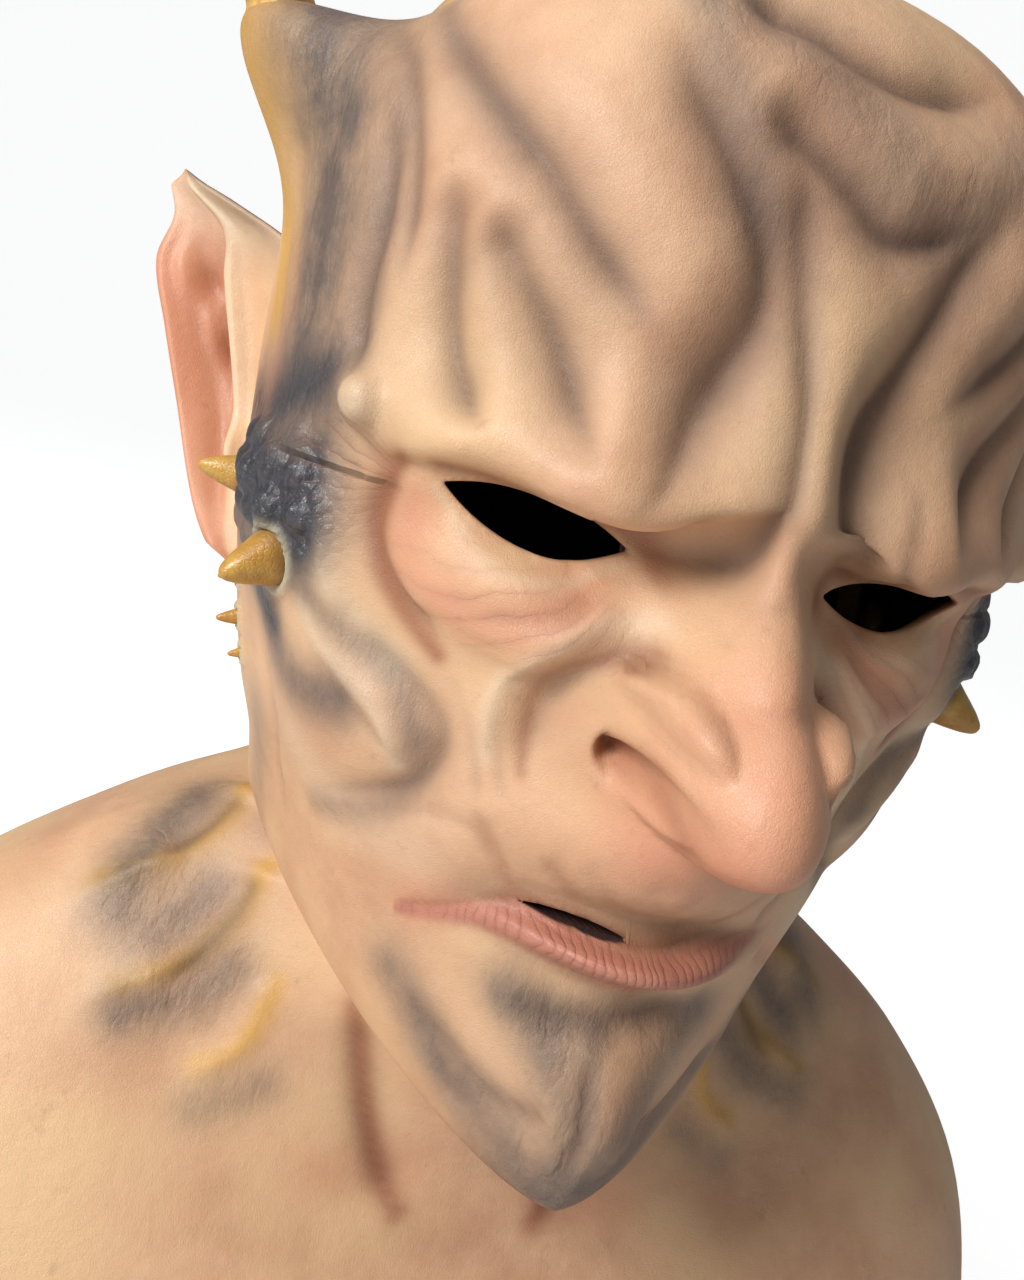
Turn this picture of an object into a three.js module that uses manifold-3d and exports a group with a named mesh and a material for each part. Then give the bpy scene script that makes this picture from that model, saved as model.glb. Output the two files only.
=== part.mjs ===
// Devil mask: one hollow silicone casting (face, skull, pointed ears, horn roots, neck, shoulder bib),
// two horns and ten hard spikes. Millimetres, +Z up, the face looks along -Y, +X is the mask's left.
// The origin is where a wearer's crown touches the inside of the skull.
import * as THREE from "three";
import { mergeVertices } from "three/addons/utils/BufferGeometryUtils.js";
import Module from "manifold-3d";

const wasm = await Module();
wasm.setup();

// Driving sizes. In the tables below heights are shares of the face, x shares of the breadth, y of the depth.
const face = 130;              // eye line down to the chin
const breadth = 182;           // temple to temple
const depth = 192;             // brow to the back of the skull
const wall = 5;                // plain thickness of the silicone
const gap = 0.3;               // between the skin and what is glued to it
const crownShare = 0.96;       // outside of the crown above the eye line
const eyeLine = wall - crownShare * face;
const unit = new THREE.Vector3(breadth, depth, face);
const creaseRound = 0.6;       // radius at the bottom of a fold
const foldFade = 0.22;         // share of a fold's length over which it runs out
const keySpread = 100;         // one key counts as this many degrees when a fold is drawn
const skinSides = 58;
const skinRows = 60;
const liningSides = 32;
const liningRows = 28;
const earRows = 15;
const hornRows = 14;
const limbSides = 12;
const spikeSides = 9;

// The skin's sections from crown to hem: heights at front, side and back, depths at front, side and back,
// half width, and how full the section is in front and behind (2 is an ellipse, less is pointed).
const sectionColumns = ["key", "frontZ", "sideZ", "backZ", "frontY", "sideY", "backY", "half", "frontFull", "backFull"];
const sections = [
  ["crown", 0.96, 0.96, 0.96, 0.96, 0, 0, 0, 0, 2, 2],
  ["cap", 0.93, 0.925, 0.92, 0.91, -0.196, 0.027, 0.257, 0.257, 2, 2],
  ["dome", 0.83, 0.83, 0.8, 0.77, -0.332, 0.034, 0.413, 0.414, 2.1, 2],
  ["top", 0.66, 0.65, 0.64, 0.59, -0.42, 0.034, 0.501, 0.489, 2.3, 2],
  ["forehead", 0.43, 0.43, 0.4, 0.36, -0.467, 0.02, 0.521, 0.5, 2.4, 2],
  ["brow", 0.19, 0.19, 0.17, 0.11, -0.481, 0.02, 0.508, 0.5, 2.4, 2],
  ["eyes", 0, 0, 0, -0.07, -0.454, 0.02, 0.481, 0.493, 2.3, 2],
  ["cheek", -0.22, -0.22, -0.19, -0.23, -0.467, 0.02, 0.44, 0.482, 1.98, 2],
  ["lip", -0.42, -0.42, -0.37, -0.35, -0.481, 0.014, 0.399, 0.457, 1.82, 2],
  ["mouth", -0.58, -0.58, -0.48, -0.43, -0.487, 0.014, 0.372, 0.436, 1.75, 2],
  ["chin", -0.77, -0.8, -0.59, -0.49, -0.487, 0.02, 0.366, 0.407, 1.6, 2],
  ["jaw", -0.94, -1.08, -0.7, -0.54, -0.475, 0.034, 0.366, 0.386, 1.4, 2],
  ["throat", -1.02, -1.06, -0.72, -0.58, -0.325, 0.054, 0.366, 0.364, 1.55, 2],
  ["neck", -1.12, -1.08, -0.74, -0.64, -0.244, 0.074, 0.372, 0.371, 1.9, 2],
  ["nape", -1.3, -1.27, -0.79, -0.74, -0.21, 0.095, 0.406, 0.464, 2.1, 2],
  ["collar", -1.46, -1.46, -0.89, -0.86, -0.237, 0.102, 0.46, 0.593, 2.2, 2.1],
  ["shoulder", -1.6, -1.6, -1.08, -1.08, -0.305, 0.102, 0.501, 0.779, 2.2, 2.2],
  ["chest", -1.75, -1.75, -1.35, -1.38, -0.352, 0.102, 0.528, 0.943, 2.3, 2.3],
  ["hem", -1.94, -1.94, -1.78, -1.82, -0.386, 0.095, 0.542, 1.043, 2.3, 2.3],
];

// Swellings and hollows: centre, reach, push, edge (under 1 is a round ball, over 1 a soft mound),
// how much of it the inside follows, and whether it is on both sides.
const swells = [
  ["forehead", 0, -0.42, 0.5, 0.46, 0.35, 0.33, 0, -0.032, 0.022, 1.4, 0, 1],
  ["brow", 0.171, -0.501, 0.125, 0.136, 0.203, 0.078, 0, -0.081, -0.08, 1.3, 0.4, 2],
  ["brow end", 0.336, -0.379, 0.08, 0.064, 0.135, 0.08, 0.014, -0.034, -0.01, 1, 0.2, 2],
  ["brow knob", 0.405, -0.285, 0.1, 0.035, 0.08, 0.05, 0.012, -0.02, 0, 1, 0, 2],
  ["glabella", 0, -0.487, 0.18, 0.071, 0.203, 0.14, 0, -0.054, 0, 1, 0.3, 1],
  ["socket", 0.193, -0.487, -0.01, 0.093, 0.203, 0.05, 0, 0.034, 0, 1, 0.5, 2],
  ["eye bag", 0.236, -0.447, -0.13, 0.105, 0.203, 0.085, 0, -0.045, -0.02, 1.6, 0.3, 2],
  ["bridge", 0, -0.46, -0.03, 0.071, 0.271, 0.14, 0, -0.088, 0, 1.2, 0.4, 1],
  ["nose", 0, -0.467, -0.23, 0.125, 0.339, 0.17, 0, -0.15, -0.03, 1.5, 0.4, 1],
  ["nose ball", 0, -0.474, -0.25, 0.095, 0.406, 0.135, 0, -0.095, -0.06, 0.5, 0, 1],
  ["wing", 0.085, -0.46, -0.168, 0.045, 0.271, 0.075, 0.01, -0.045, 0, 0.8, 0, 2],
  ["cheek roll", 0.214, -0.447, -0.3, 0.1, 0.203, 0.14, 0, -0.02, 0, 1, 0.3, 2],
  ["cheekbone", 0.414, -0.237, -0.2, 0.086, 0.169, 0.14, 0.022, -0.012, 0, 1, 0.3, 2],
  ["temple knob", 0.46, -0.17, -0.08, 0.06, 0.12, 0.11, 0.022, -0.015, 0, 1.3, 0, 2],
  ["jaw lobe", 0.357, -0.284, -0.4, 0.086, 0.169, 0.12, 0.015, -0.012, 0, 1.2, 0.2, 2],
  ["muzzle", 0, -0.487, -0.46, 0.171, 0.271, 0.09, 0, -0.058, 0, 1.3, 0.5, 1],
  ["lower lip", 0, -0.487, -0.615, 0.136, 0.271, 0.04, 0, -0.058, 0, 1.3, 0.3, 1],
  ["under lip", 0, -0.487, -0.71, 0.143, 0.271, 0.05, 0, 0.014, 0, 1, 0.3, 1],
  ["chin", 0, -0.487, -0.86, 0.086, 0.271, 0.12, 0, -0.041, -0.03, 1, 0.3, 1],
  ["horn root", 0.49, 0.014, 0.63, 0.085, 0.125, 0.19, 0.118, 0, 0.05, 1.2, 0.3, 2],
  ["saddle", 0.44, -0.01, 0.78, 0.1, 0.17, 0.13, -0.07, 0, -0.1, 1, 0.9, 2],
];

// Folds between the rolls of flesh: points as [turn in degrees, key], width, depth, sides.
const folds = [
  ["brow fold right", [[-25, 0.74], [-13, 0.56], [-6, 0.4], [-8, 0.26], [-16, 0.09]], 0.052, 0.056, 1],
  ["brow fold left", [[22, 0.66], [14, 0.46], [9, 0.31], [6, 0.16], [13, 0.0]], 0.052, 0.056, 1],
  ["middle fold", [[-5, 0.6], [-3, 0.44], [-1, 0.22], [-3, 0.03], [-11, -0.02]], 0.042, 0.046, 1],
  ["root fold", [[-6, 0.15], [-9, 0.04], [-14, 0.01]], 0.022, 0.018, 2],
  ["inner fold", [[14, 0.22], [13, 0.12], [19, 0.03]], 0.022, 0.018, 1],
  ["crown valley", [[-12, 0.65], [-2, 0.57], [5, 0.49], [19, 0.58]], 0.06, 0.054, 1],
  ["crown fold", [[-18, 0.78], [-6, 0.775], [6, 0.73], [25, 0.78]], 0.058, 0.048, 1],
  ["long fold", [[-62, 0.74], [-47, 0.59], [-35, 0.48], [-25, 0.37], [-12, 0.25]], 0.055, 0.042, 2],
  ["arch fold", [[-41, 0.41], [-34, 0.32], [-27, 0.24], [-19, 0.15]], 0.046, 0.044, 2],
  ["outer fold", [[-46, 0.46], [-44, 0.33], [-40, 0.2], [-32, 0.12]], 0.042, 0.038, 2],
  ["temple fold", [[-71, 0.72], [-59, 0.6], [-53, 0.44], [-50, 0.26]], 0.035, 0.022, 2],
  ["temple step", [[-60, 0.57], [-57, 0.38], [-57, 0.24], [-54, 0.11]], 0.03, 0.028, 2],
  ["bag rim", [[-42, 0.02], [-46, -0.08], [-43, -0.17], [-34, -0.25]], 0.022, 0.028, 2],
  ["bag fold", [[-38, -0.12], [-30, -0.14], [-20, -0.11], [-14, -0.07]], 0.015, 0.01, 2],
  ["wing rim", [[-24, -0.4], [-23, -0.29], [-19, -0.21], [-14, -0.145], [-6, -0.12]], 0.022, 0.028, 2],
  ["mouth line", [[-37, -0.69], [-28, -0.62], [-20, -0.59], [-6, -0.57], [8, -0.57], [25, -0.58]], 0.022, 0.04, 1],
  ["chin crease", [[-21, -0.75], [-3, -0.71], [18, -0.7]], 0.03, 0.024, 1],
  ["chin cleft", [[-5, -0.74], [-6, -0.8], [-6, -0.88]], 0.022, 0.02, 1],
  ["jaw edge", [[-38, -0.83], [-23, -0.85], [-11, -0.82]], 0.03, 0.018, 2],
  ["cheek band", [[-55, -0.25], [-42, -0.3], [-35, -0.38], [-40, -0.5], [-58, -0.64]], 0.028, 0.026, 2],
  ["cheek crease", [[-55, -0.34], [-47, -0.4], [-40, -0.45]], 0.02, 0.012, 2],
  ["neck tendon", [[-35, -1.14], [-26, -1.23], [-16, -1.33], [-9, -1.4]], 0.05, 0.024, 2],
  ["neck ridge high", [[-86, -1.15], [-78, -1.25], [-74, -1.36]], 0.04, 0.022, 2],
  ["neck ridge low", [[-66, -1.16], [-59, -1.26], [-55, -1.42]], 0.04, 0.022, 2],
];

// Each pointed ear from lobe to tip: height, root and rim as x and y, thickness, and how far it is cupped.
const earColumns = ["z", "rootX", "rootY", "rimX", "rimY", "thick", "cup"];
const earSections = [
  ["lobe", -0.31, 0.457, 0.02, 0.486, 0.041, 0.02, 0],
  ["lobe rim", -0.27, 0.429, 0.02, 0.514, 0.064, 0.05, 0.01],
  ["low", -0.2, 0.429, 0.02, 0.543, 0.094, 0.05, 0.03],
  ["bowl", -0.04, 0.429, 0.034, 0.586, 0.157, 0.05, 0.06],
  ["middle", 0.09, 0.429, 0.047, 0.621, 0.191, 0.05, 0.06],
  ["upper", 0.21, 0.443, 0.061, 0.65, 0.218, 0.045, 0.05],
  ["shoulder", 0.3, 0.486, 0.088, 0.654, 0.231, 0.04, 0.03],
  ["point", 0.36, 0.6, 0.163, 0.65, 0.238, 0.025, 0.01],
  ["tip", 0.39, 0.643, 0.2, 0.646, 0.238, 0.01, 0],
];

// Spikes on each side: turn and key on the skin, base radius and length in mm, lean upward.
const spikeRoot = 8;           // how deep a spike starts before it is seated
const spikes = [
  ["upper", 88, -0.14, 5.2, 11, 0.1],
  ["main", 63, -0.22, 6.8, 12.5, -0.08],
  ["rear_1", 83, -0.33, 2.6, 5.5, 0],
  ["rear_2", 84, -0.42, 2.8, 6, 0],
  ["rear_3", 82, -0.5, 2.2, 4, 0],
];

// Horn: middle of its base, bend and tip as shares, then its base radii across and along the head in mm.
const horn = {
  base: new THREE.Vector3(0.535, 0.02, 0.57),
  bend: new THREE.Vector3(0.65, 0.02, 0.95),
  tip: new THREE.Vector3(0.66, 0.095, 1.45),
  across: 9,
  along: 13,
  taper: 0.75,
};

// Eye opening seen from the front: inner and outer corners, top and bottom at its middle.
const eye = { innerX: 0.112, innerZ: -0.02, outerX: 0.318, outerZ: 0.01, topZ: 0.032, bottomZ: -0.06 };
// Mouth slit and nostril.
const slit = { leftX: -0.135, rightX: -0.012, z: -0.585, drop: 0.006, half: 0.011 };
const nostril = { x: 0.097, y: -0.56, z: -0.29, radius: 3.6, length: 15 };
const cutReach = 0.5;          // how far a front cut runs back from the tip of the face, of the depth

function column(rows, names, name) {
  return rows.map((row) => row[names.indexOf(name) + 1]);
}

// A smooth curve through one column of a table, read at any key on the way down the rows.
function smoothColumn(keys, values, key) {
  const last = keys.length - 1;
  const forward = keys[last] > keys[0] ? 1 : -1;
  let i = 0;
  while (i < last - 1 && (key - keys[i + 1]) * forward > 0) i += 1;
  const slope = (j) => {
    const a = Math.max(j - 1, 0);
    const b = Math.min(j + 1, last);
    return (values[b] - values[a]) / (keys[b] - keys[a]);
  };
  const step = keys[i + 1] - keys[i];
  const s = THREE.MathUtils.clamp((key - keys[i]) / step, 0, 1);
  const start = (2 * s ** 3 - 3 * s ** 2 + 1) * values[i] + (s ** 3 - 2 * s ** 2 + s) * step * slope(i);
  const end = (3 * s ** 2 - 2 * s ** 3) * values[i + 1] + (s ** 3 - s ** 2) * step * slope(i + 1);
  return start + end;
}

const sectionKeys = column(sections, sectionColumns, "key");
const sectionValues = {};
for (const name of sectionColumns) sectionValues[name] = column(sections, sectionColumns, name);

// Plain form of the skin at a turn about the vertical (0 is the front) and a key down the sections.
function plainForm(turn, key) {
  const at = (name) => smoothColumn(sectionKeys, sectionValues[name], key);
  const sine = Math.sin(THREE.MathUtils.degToRad(turn));
  const cosine = Math.cos(THREE.MathUtils.degToRad(turn));
  const front = cosine > 0;
  const power = 2 / at(front ? "frontFull" : "backFull");
  const sideways = Math.sign(sine) * Math.abs(sine) ** power;
  const forward = Math.abs(cosine) ** power;
  const tilt = Math.abs(cosine) ** 1.5;
  const x = at("half") * sideways;
  const y = at("sideY") + (at(front ? "frontY" : "backY") - at("sideY")) * forward;
  const z = at("sideZ") + (at(front ? "frontZ" : "backZ") - at("sideZ")) * tilt;
  return new THREE.Vector3(x, y, z).multiply(unit);
}

// Adds the swellings to a point of the plain form.
function swell(point, inside) {
  const share = point.clone().divide(unit);
  const moved = point.clone();
  for (const [, cx, cy, cz, rx, ry, rz, px, py, pz, edge, follow, sides] of swells) {
    for (let side = 1; side >= (sides === 2 ? -1 : 1); side -= 2) {
      const dx = (share.x - cx * side) / rx;
      const dy = (share.y - cy) / ry;
      const dz = (share.z - cz) / rz;
      const far = dx * dx + dy * dy + dz * dz;
      const ball = Math.max(0, 1 - far) ** edge;
      const mound = Math.exp(-(far ** edge));
      const weight = (edge < 1 ? ball : mound) * (inside ? follow : 1);
      moved.add(new THREE.Vector3(px * side, py, pz).multiply(unit).multiplyScalar(weight));
    }
  }
  return moved;
}

// Each fold as a curve laid on the plain form.
const foldCurves = [];
for (const [, points, width, sink, sides] of folds) {
  for (let side = 1; side >= (sides === 2 ? -1 : 1); side -= 2) {
    const chart = new THREE.CatmullRomCurve3(points.map(([turn, key]) => new THREE.Vector3(turn * side, key * keySpread, 0)));
    const line = chart.getPoints(20).map((p) => plainForm(p.x, p.y / keySpread));
    foldCurves.push({ line, width: width * face, sink: sink * face });
  }
}

// How deep the folds cut at a point of the plain form.
function foldDepth(point) {
  let total = 0;
  const nearest = new THREE.Vector3();
  const piece = new THREE.Line3();
  for (const { line, width, sink } of foldCurves) {
    let best = Infinity;
    let share = 0;
    for (let i = 0; i < line.length - 1; i += 1) {
      piece.set(line[i], line[i + 1]);
      const t = piece.closestPointToPointParameter(point, true);
      piece.at(t, nearest);
      const distance = nearest.distanceTo(point);
      if (distance < best) {
        best = distance;
        share = (i + t) / (line.length - 1);
      }
    }
    const fade = THREE.MathUtils.smoothstep(Math.min(share, 1 - share), 0, foldFade);
    total += (sink * fade * Math.exp(-Math.hypot(best, creaseRound) / width)) ** 2;
  }
  return Math.sqrt(total);
}

// Outward direction of a form at a turn and key.
function outward(form, turn, key) {
  const safeKey = Math.min(key, crownShare - 0.004);
  const across = form(turn + 0.5, safeKey).sub(form(turn - 0.5, safeKey));
  const down = form(turn, safeKey - 0.003).sub(form(turn, safeKey + 0.003));
  const normal = down.cross(across).normalize();
  return key > crownShare - 0.004 ? new THREE.Vector3(0, 0, 1) : normal;
}

const swollen = (turn, key) => swell(plainForm(turn, key), false);
const lined = (turn, key) => swell(plainForm(turn, key), true);

// Outside of the skin, folds included, moved out by a margin.
function outerSkin(turn, key, margin) {
  const sunk = foldDepth(plainForm(turn, key));
  const point = swollen(turn, key).addScaledVector(outward(swollen, turn, key), margin - sunk);
  return point.add(new THREE.Vector3(0, 0, eyeLine));
}

// Inside of the skin: the plain form less the wall, running past the hem so that it stays open there.
function innerSkin(turn, key) {
  const hem = sectionKeys[sectionKeys.length - 1];
  const beyond = Math.max(hem - key, 0);
  const held = Math.max(key, hem);
  const point = lined(turn, held).addScaledVector(outward(lined, turn, held), -wall);
  return point.add(new THREE.Vector3(0, 0, eyeLine - beyond * face));
}

// A closed geometry turned on a lathe, each of whose points is then placed by its turn and its share down.
function shapedLathe(sides, rows, place) {
  const profile = [];
  for (let row = 0; row <= rows; row += 1) {
    const angle = (Math.PI * row) / rows;
    profile.push(new THREE.Vector2(Math.sin(angle), Math.cos(angle)));
  }
  const lathe = new THREE.LatheGeometry(profile, sides);
  const position = lathe.getAttribute("position");
  const uv = lathe.getAttribute("uv");
  for (let i = 0; i < position.count; i += 1) {
    const point = place(uv.getX(i) % 1, uv.getY(i));
    position.setXYZ(i, point.x, point.y, point.z);
  }
  return lathe;
}

// Merges shared points, drops collapsed triangles and turns every face outward.
function toSolid(geometry) {
  const bare = geometry.clone();
  bare.deleteAttribute("normal");
  bare.deleteAttribute("uv");
  const merged = mergeVertices(bare, 1e-3);
  const points = merged.getAttribute("position");
  const triangles = [];
  let volume = 0;
  const a = new THREE.Vector3();
  const b = new THREE.Vector3();
  const c = new THREE.Vector3();
  for (let i = 0; i < merged.index.count; i += 3) {
    const [p, q, r] = [0, 1, 2].map((k) => merged.index.getX(i + k));
    if (p === q || q === r || r === p) continue;
    a.fromBufferAttribute(points, p);
    b.fromBufferAttribute(points, q);
    c.fromBufferAttribute(points, r);
    volume += a.dot(b.cross(c));
    triangles.push(p, q, r);
  }
  if (volume < 0) triangles.reverse();
  const vertProperties = new Float32Array(points.array);
  return new wasm.Manifold(new wasm.Mesh({ numProp: 3, vertProperties, triVerts: new Uint32Array(triangles) }));
}

function toMesh(solid, name, material) {
  const made = solid.getMesh();
  const geometry = new THREE.BufferGeometry();
  geometry.setAttribute("position", new THREE.Float32BufferAttribute(made.vertProperties, 3));
  geometry.setIndex(Array.from(made.triVerts));
  geometry.computeVertexNormals();
  const mesh = new THREE.Mesh(geometry, material);
  mesh.name = name;
  return mesh;
}

// Turns run closer together across the face, and rows closer together from brow to chin.
function spreadTurn(share) {
  const turn = share * 2 - 1;
  return 180 * (0.55 * turn + 0.45 * turn ** 3);
}
const skinStops = [[0, 0.96], [0.08, 0.74], [0.76, -0.96], [0.85, -1.16], [1, -1.94]];
const liningStops = [[0, 0.96], [0.22, 0.55], [0.5, -0.85], [0.7, -1.25], [0.95, -1.94], [1, -2.1]];
function spreadKey(stops, share) {
  let i = 0;
  while (i < stops.length - 2 && share > stops[i + 1][0]) i += 1;
  const part = (share - stops[i][0]) / (stops[i + 1][0] - stops[i][0]);
  return THREE.MathUtils.lerp(stops[i][1], stops[i + 1][1], part);
}

// Closes a wall to a point on the middle line under its last row.
function closedWall(sides, rows, bottomZ, wallPoint) {
  return shapedLathe(sides, rows + 1, (around, down) => {
    const row = Math.round(down * (rows + 1));
    if (row > rows) return new THREE.Vector3(0, 0.1 * depth, bottomZ);
    return wallPoint(spreadTurn(around), row / rows);
  });
}

const hemZ = eyeLine + sections[sections.length - 1][2] * face;
function skinWall(margin) {
  return closedWall(skinSides, skinRows, hemZ, (turn, down) => outerSkin(turn, spreadKey(skinStops, down), margin));
}
const outerSolid = toSolid(skinWall(0));
const grownSolid = toSolid(skinWall(gap));
const liningBottom = hemZ - 0.25 * face;
const liningForm = (turn, down) => innerSkin(turn, spreadKey(liningStops, down));
const liningSolid = toSolid(closedWall(liningSides, liningRows, liningBottom, liningForm));

// An ear on one side, its root buried in the skull so that the two join.
const earKeys = column(earSections, earColumns, "z");
const earValues = {};
for (const name of earColumns) earValues[name] = column(earSections, earColumns, name);
function earPoint(side, around, down) {
  const z = THREE.MathUtils.lerp(earKeys[0], earKeys[earKeys.length - 1], down);
  const at = (name) => smoothColumn(earKeys, earValues[name], z);
  const angle = around * Math.PI * 2;
  const across = 0.5 - 0.5 * Math.cos(angle);
  const bow = at("cup") * Math.sin(Math.PI * across);
  const pinch = Math.min(1, Math.min(down, 1 - down) * 20);
  const root = new THREE.Vector2(at("rootX") * breadth, at("rootY") * depth);
  const rim = new THREE.Vector2(at("rimX") * breadth, at("rimY") * depth);
  const middle = root.clone().lerp(rim, 0.5);
  const place = middle.clone().lerp(root.clone().lerp(rim, across), pinch);
  const back = new THREE.Vector2(root.y - rim.y, rim.x - root.x).normalize();
  place.addScaledVector(back, (bow + 0.5 * at("thick") * Math.sin(angle) * pinch) * face);
  return new THREE.Vector3(place.x * side, place.y, z * face + eyeLine);
}

// An eye opening cut straight through from the front.
function eyeCutter(side) {
  const middleX = (eye.innerX + eye.outerX) / 2;
  const outline = new THREE.Shape();
  outline.moveTo(eye.innerX, eye.innerZ);
  outline.quadraticCurveTo(middleX, 2 * eye.topZ - (eye.innerZ + eye.outerZ) / 2, eye.outerX, eye.outerZ);
  outline.quadraticCurveTo(middleX, 2 * eye.bottomZ - (eye.innerZ + eye.outerZ) / 2, eye.innerX, eye.innerZ);
  const cutter = new THREE.ExtrudeGeometry(outline, { depth: cutReach, bevelEnabled: false, curveSegments: 10 });
  cutter.rotateX(Math.PI / 2);
  cutter.scale(side * breadth, depth, face);
  cutter.translate(0, -0.24 * depth, eyeLine);
  return toSolid(cutter);
}

function slitCutter() {
  const outline = new THREE.Shape();
  const middleX = (slit.leftX + slit.rightX) / 2;
  outline.moveTo(slit.leftX, slit.z);
  outline.quadraticCurveTo(middleX, slit.z + 2 * slit.half, slit.rightX, slit.z - slit.drop);
  outline.quadraticCurveTo(middleX, slit.z - 2 * slit.half, slit.leftX, slit.z);
  const cutter = new THREE.ExtrudeGeometry(outline, { depth: cutReach, bevelEnabled: false, curveSegments: 6 });
  cutter.rotateX(Math.PI / 2);
  cutter.scale(breadth, depth, face);
  cutter.translate(0, -0.24 * depth, eyeLine);
  return toSolid(cutter);
}

// A nostril: a blind round pit that leans up into the nose.
function nostrilCutter(side) {
  const pit = new THREE.SphereGeometry(nostril.radius, 10, 8);
  pit.scale(1, nostril.length / nostril.radius / 2, 1.3);
  pit.rotateX(0.5);
  pit.translate(nostril.x * side * breadth, nostril.y * depth, nostril.z * face + eyeLine);
  return toSolid(pit);
}

// A horn: an oval that shrinks along a bent middle line, seated on the skin's flared root.
function hornSolid(side) {
  const middle = new THREE.QuadraticBezierCurve3(horn.base, horn.bend, horn.tip);
  const shape = shapedLathe(limbSides, hornRows, (around, down) => {
    const centre = middle.getPoint(down).multiply(unit);
    const angle = around * Math.PI * 2;
    const size = down === 0 ? 0 : (1 - down) ** horn.taper;
    centre.x += horn.across * size * Math.cos(angle);
    centre.y += horn.along * size * Math.sin(angle);
    return new THREE.Vector3(centre.x * side, centre.y, centre.z + eyeLine);
  });
  return toSolid(shape);
}

// A spike: a blunt cone that stands out of the skin along its outward direction.
function spikeSolid(side, turn, key, radius, length, lean) {
  const foot = outerSkin(turn * side, key, 0);
  const along = outward(swollen, turn * side, key);
  along.z += lean;
  along.normalize();
  const buried = spikeRoot;
  const full = length + buried;
  const profile = [new THREE.Vector2(0, -buried)];
  profile.push(new THREE.Vector2(radius, -buried));
  for (const [share, height] of [[0.95, 0.3], [0.66, 0.62], [0.3, 0.9], [0, 1]]) {
    profile.push(new THREE.Vector2(radius * share, -buried + full * height));
  }
  const cone = new THREE.LatheGeometry(profile, spikeSides);
  const turned = new THREE.Quaternion().setFromUnitVectors(new THREE.Vector3(0, 1, 0), along);
  cone.applyQuaternion(turned);
  cone.translate(foot.x, foot.y, foot.z);
  return toSolid(cone);
}

const silicone = new THREE.MeshStandardMaterial({ color: 0xd8ac8a, roughness: 0.5, metalness: 0 });
const hornCoat = new THREE.MeshStandardMaterial({ color: 0xd9b06a, roughness: 0.45, metalness: 0 });
const spikeCoat = new THREE.MeshStandardMaterial({ color: 0xc69a3e, roughness: 0.3, metalness: 0 });
const group = new THREE.Group();

let skin = outerSolid;
for (const side of [1, -1]) {
  skin = skin.add(toSolid(shapedLathe(limbSides, earRows, (around, down) => earPoint(side, around, down))));
}
skin = skin.subtract(liningSolid);
skin = skin.subtract(slitCutter());
for (const side of [1, -1]) {
  skin = skin.subtract(eyeCutter(side));
  skin = skin.subtract(nostrilCutter(side));
}
group.add(toMesh(skin, "skin", silicone));

for (const [side, name] of [[-1, "right"], [1, "left"]]) {
  group.add(toMesh(hornSolid(side).subtract(grownSolid), `${name}_horn`, hornCoat.clone()));
  for (const [place, turn, key, radius, length, lean] of spikes) {
    const cone = spikeSolid(side, turn, key, radius, length, lean).subtract(grownSolid);
    group.add(toMesh(cone, `${name}_spike_${place}`, spikeCoat.clone()));
  }
}

export default group;
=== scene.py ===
import math

import bmesh
import bpy
import numpy as np
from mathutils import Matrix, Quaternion, Vector


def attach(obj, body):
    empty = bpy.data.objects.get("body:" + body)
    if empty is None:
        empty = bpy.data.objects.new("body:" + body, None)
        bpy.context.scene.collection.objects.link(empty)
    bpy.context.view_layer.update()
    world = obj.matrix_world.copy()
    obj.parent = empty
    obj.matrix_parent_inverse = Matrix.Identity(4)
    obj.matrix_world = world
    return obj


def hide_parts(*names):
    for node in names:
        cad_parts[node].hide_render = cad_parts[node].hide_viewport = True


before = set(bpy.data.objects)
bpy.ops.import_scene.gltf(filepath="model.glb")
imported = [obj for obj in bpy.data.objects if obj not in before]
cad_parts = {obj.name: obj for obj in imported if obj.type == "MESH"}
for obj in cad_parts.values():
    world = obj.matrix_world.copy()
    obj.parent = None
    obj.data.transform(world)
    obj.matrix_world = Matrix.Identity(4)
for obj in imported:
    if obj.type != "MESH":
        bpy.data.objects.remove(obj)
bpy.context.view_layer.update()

# Skin form. The skin is one silicone casting: skull, face, neck and shoulder bib in a single wall.
# Its form is a stack of sections from crown to hem, with swellings pushed out and folds pressed in.
face = 0.130
breadth = 0.182
depth = 0.192
wall = 0.005
crown_share = 0.96
eye_line = wall - crown_share * face
unit = np.array([breadth, depth, face])
crease_round = 0.0006
fold_fade = 0.22

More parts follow.
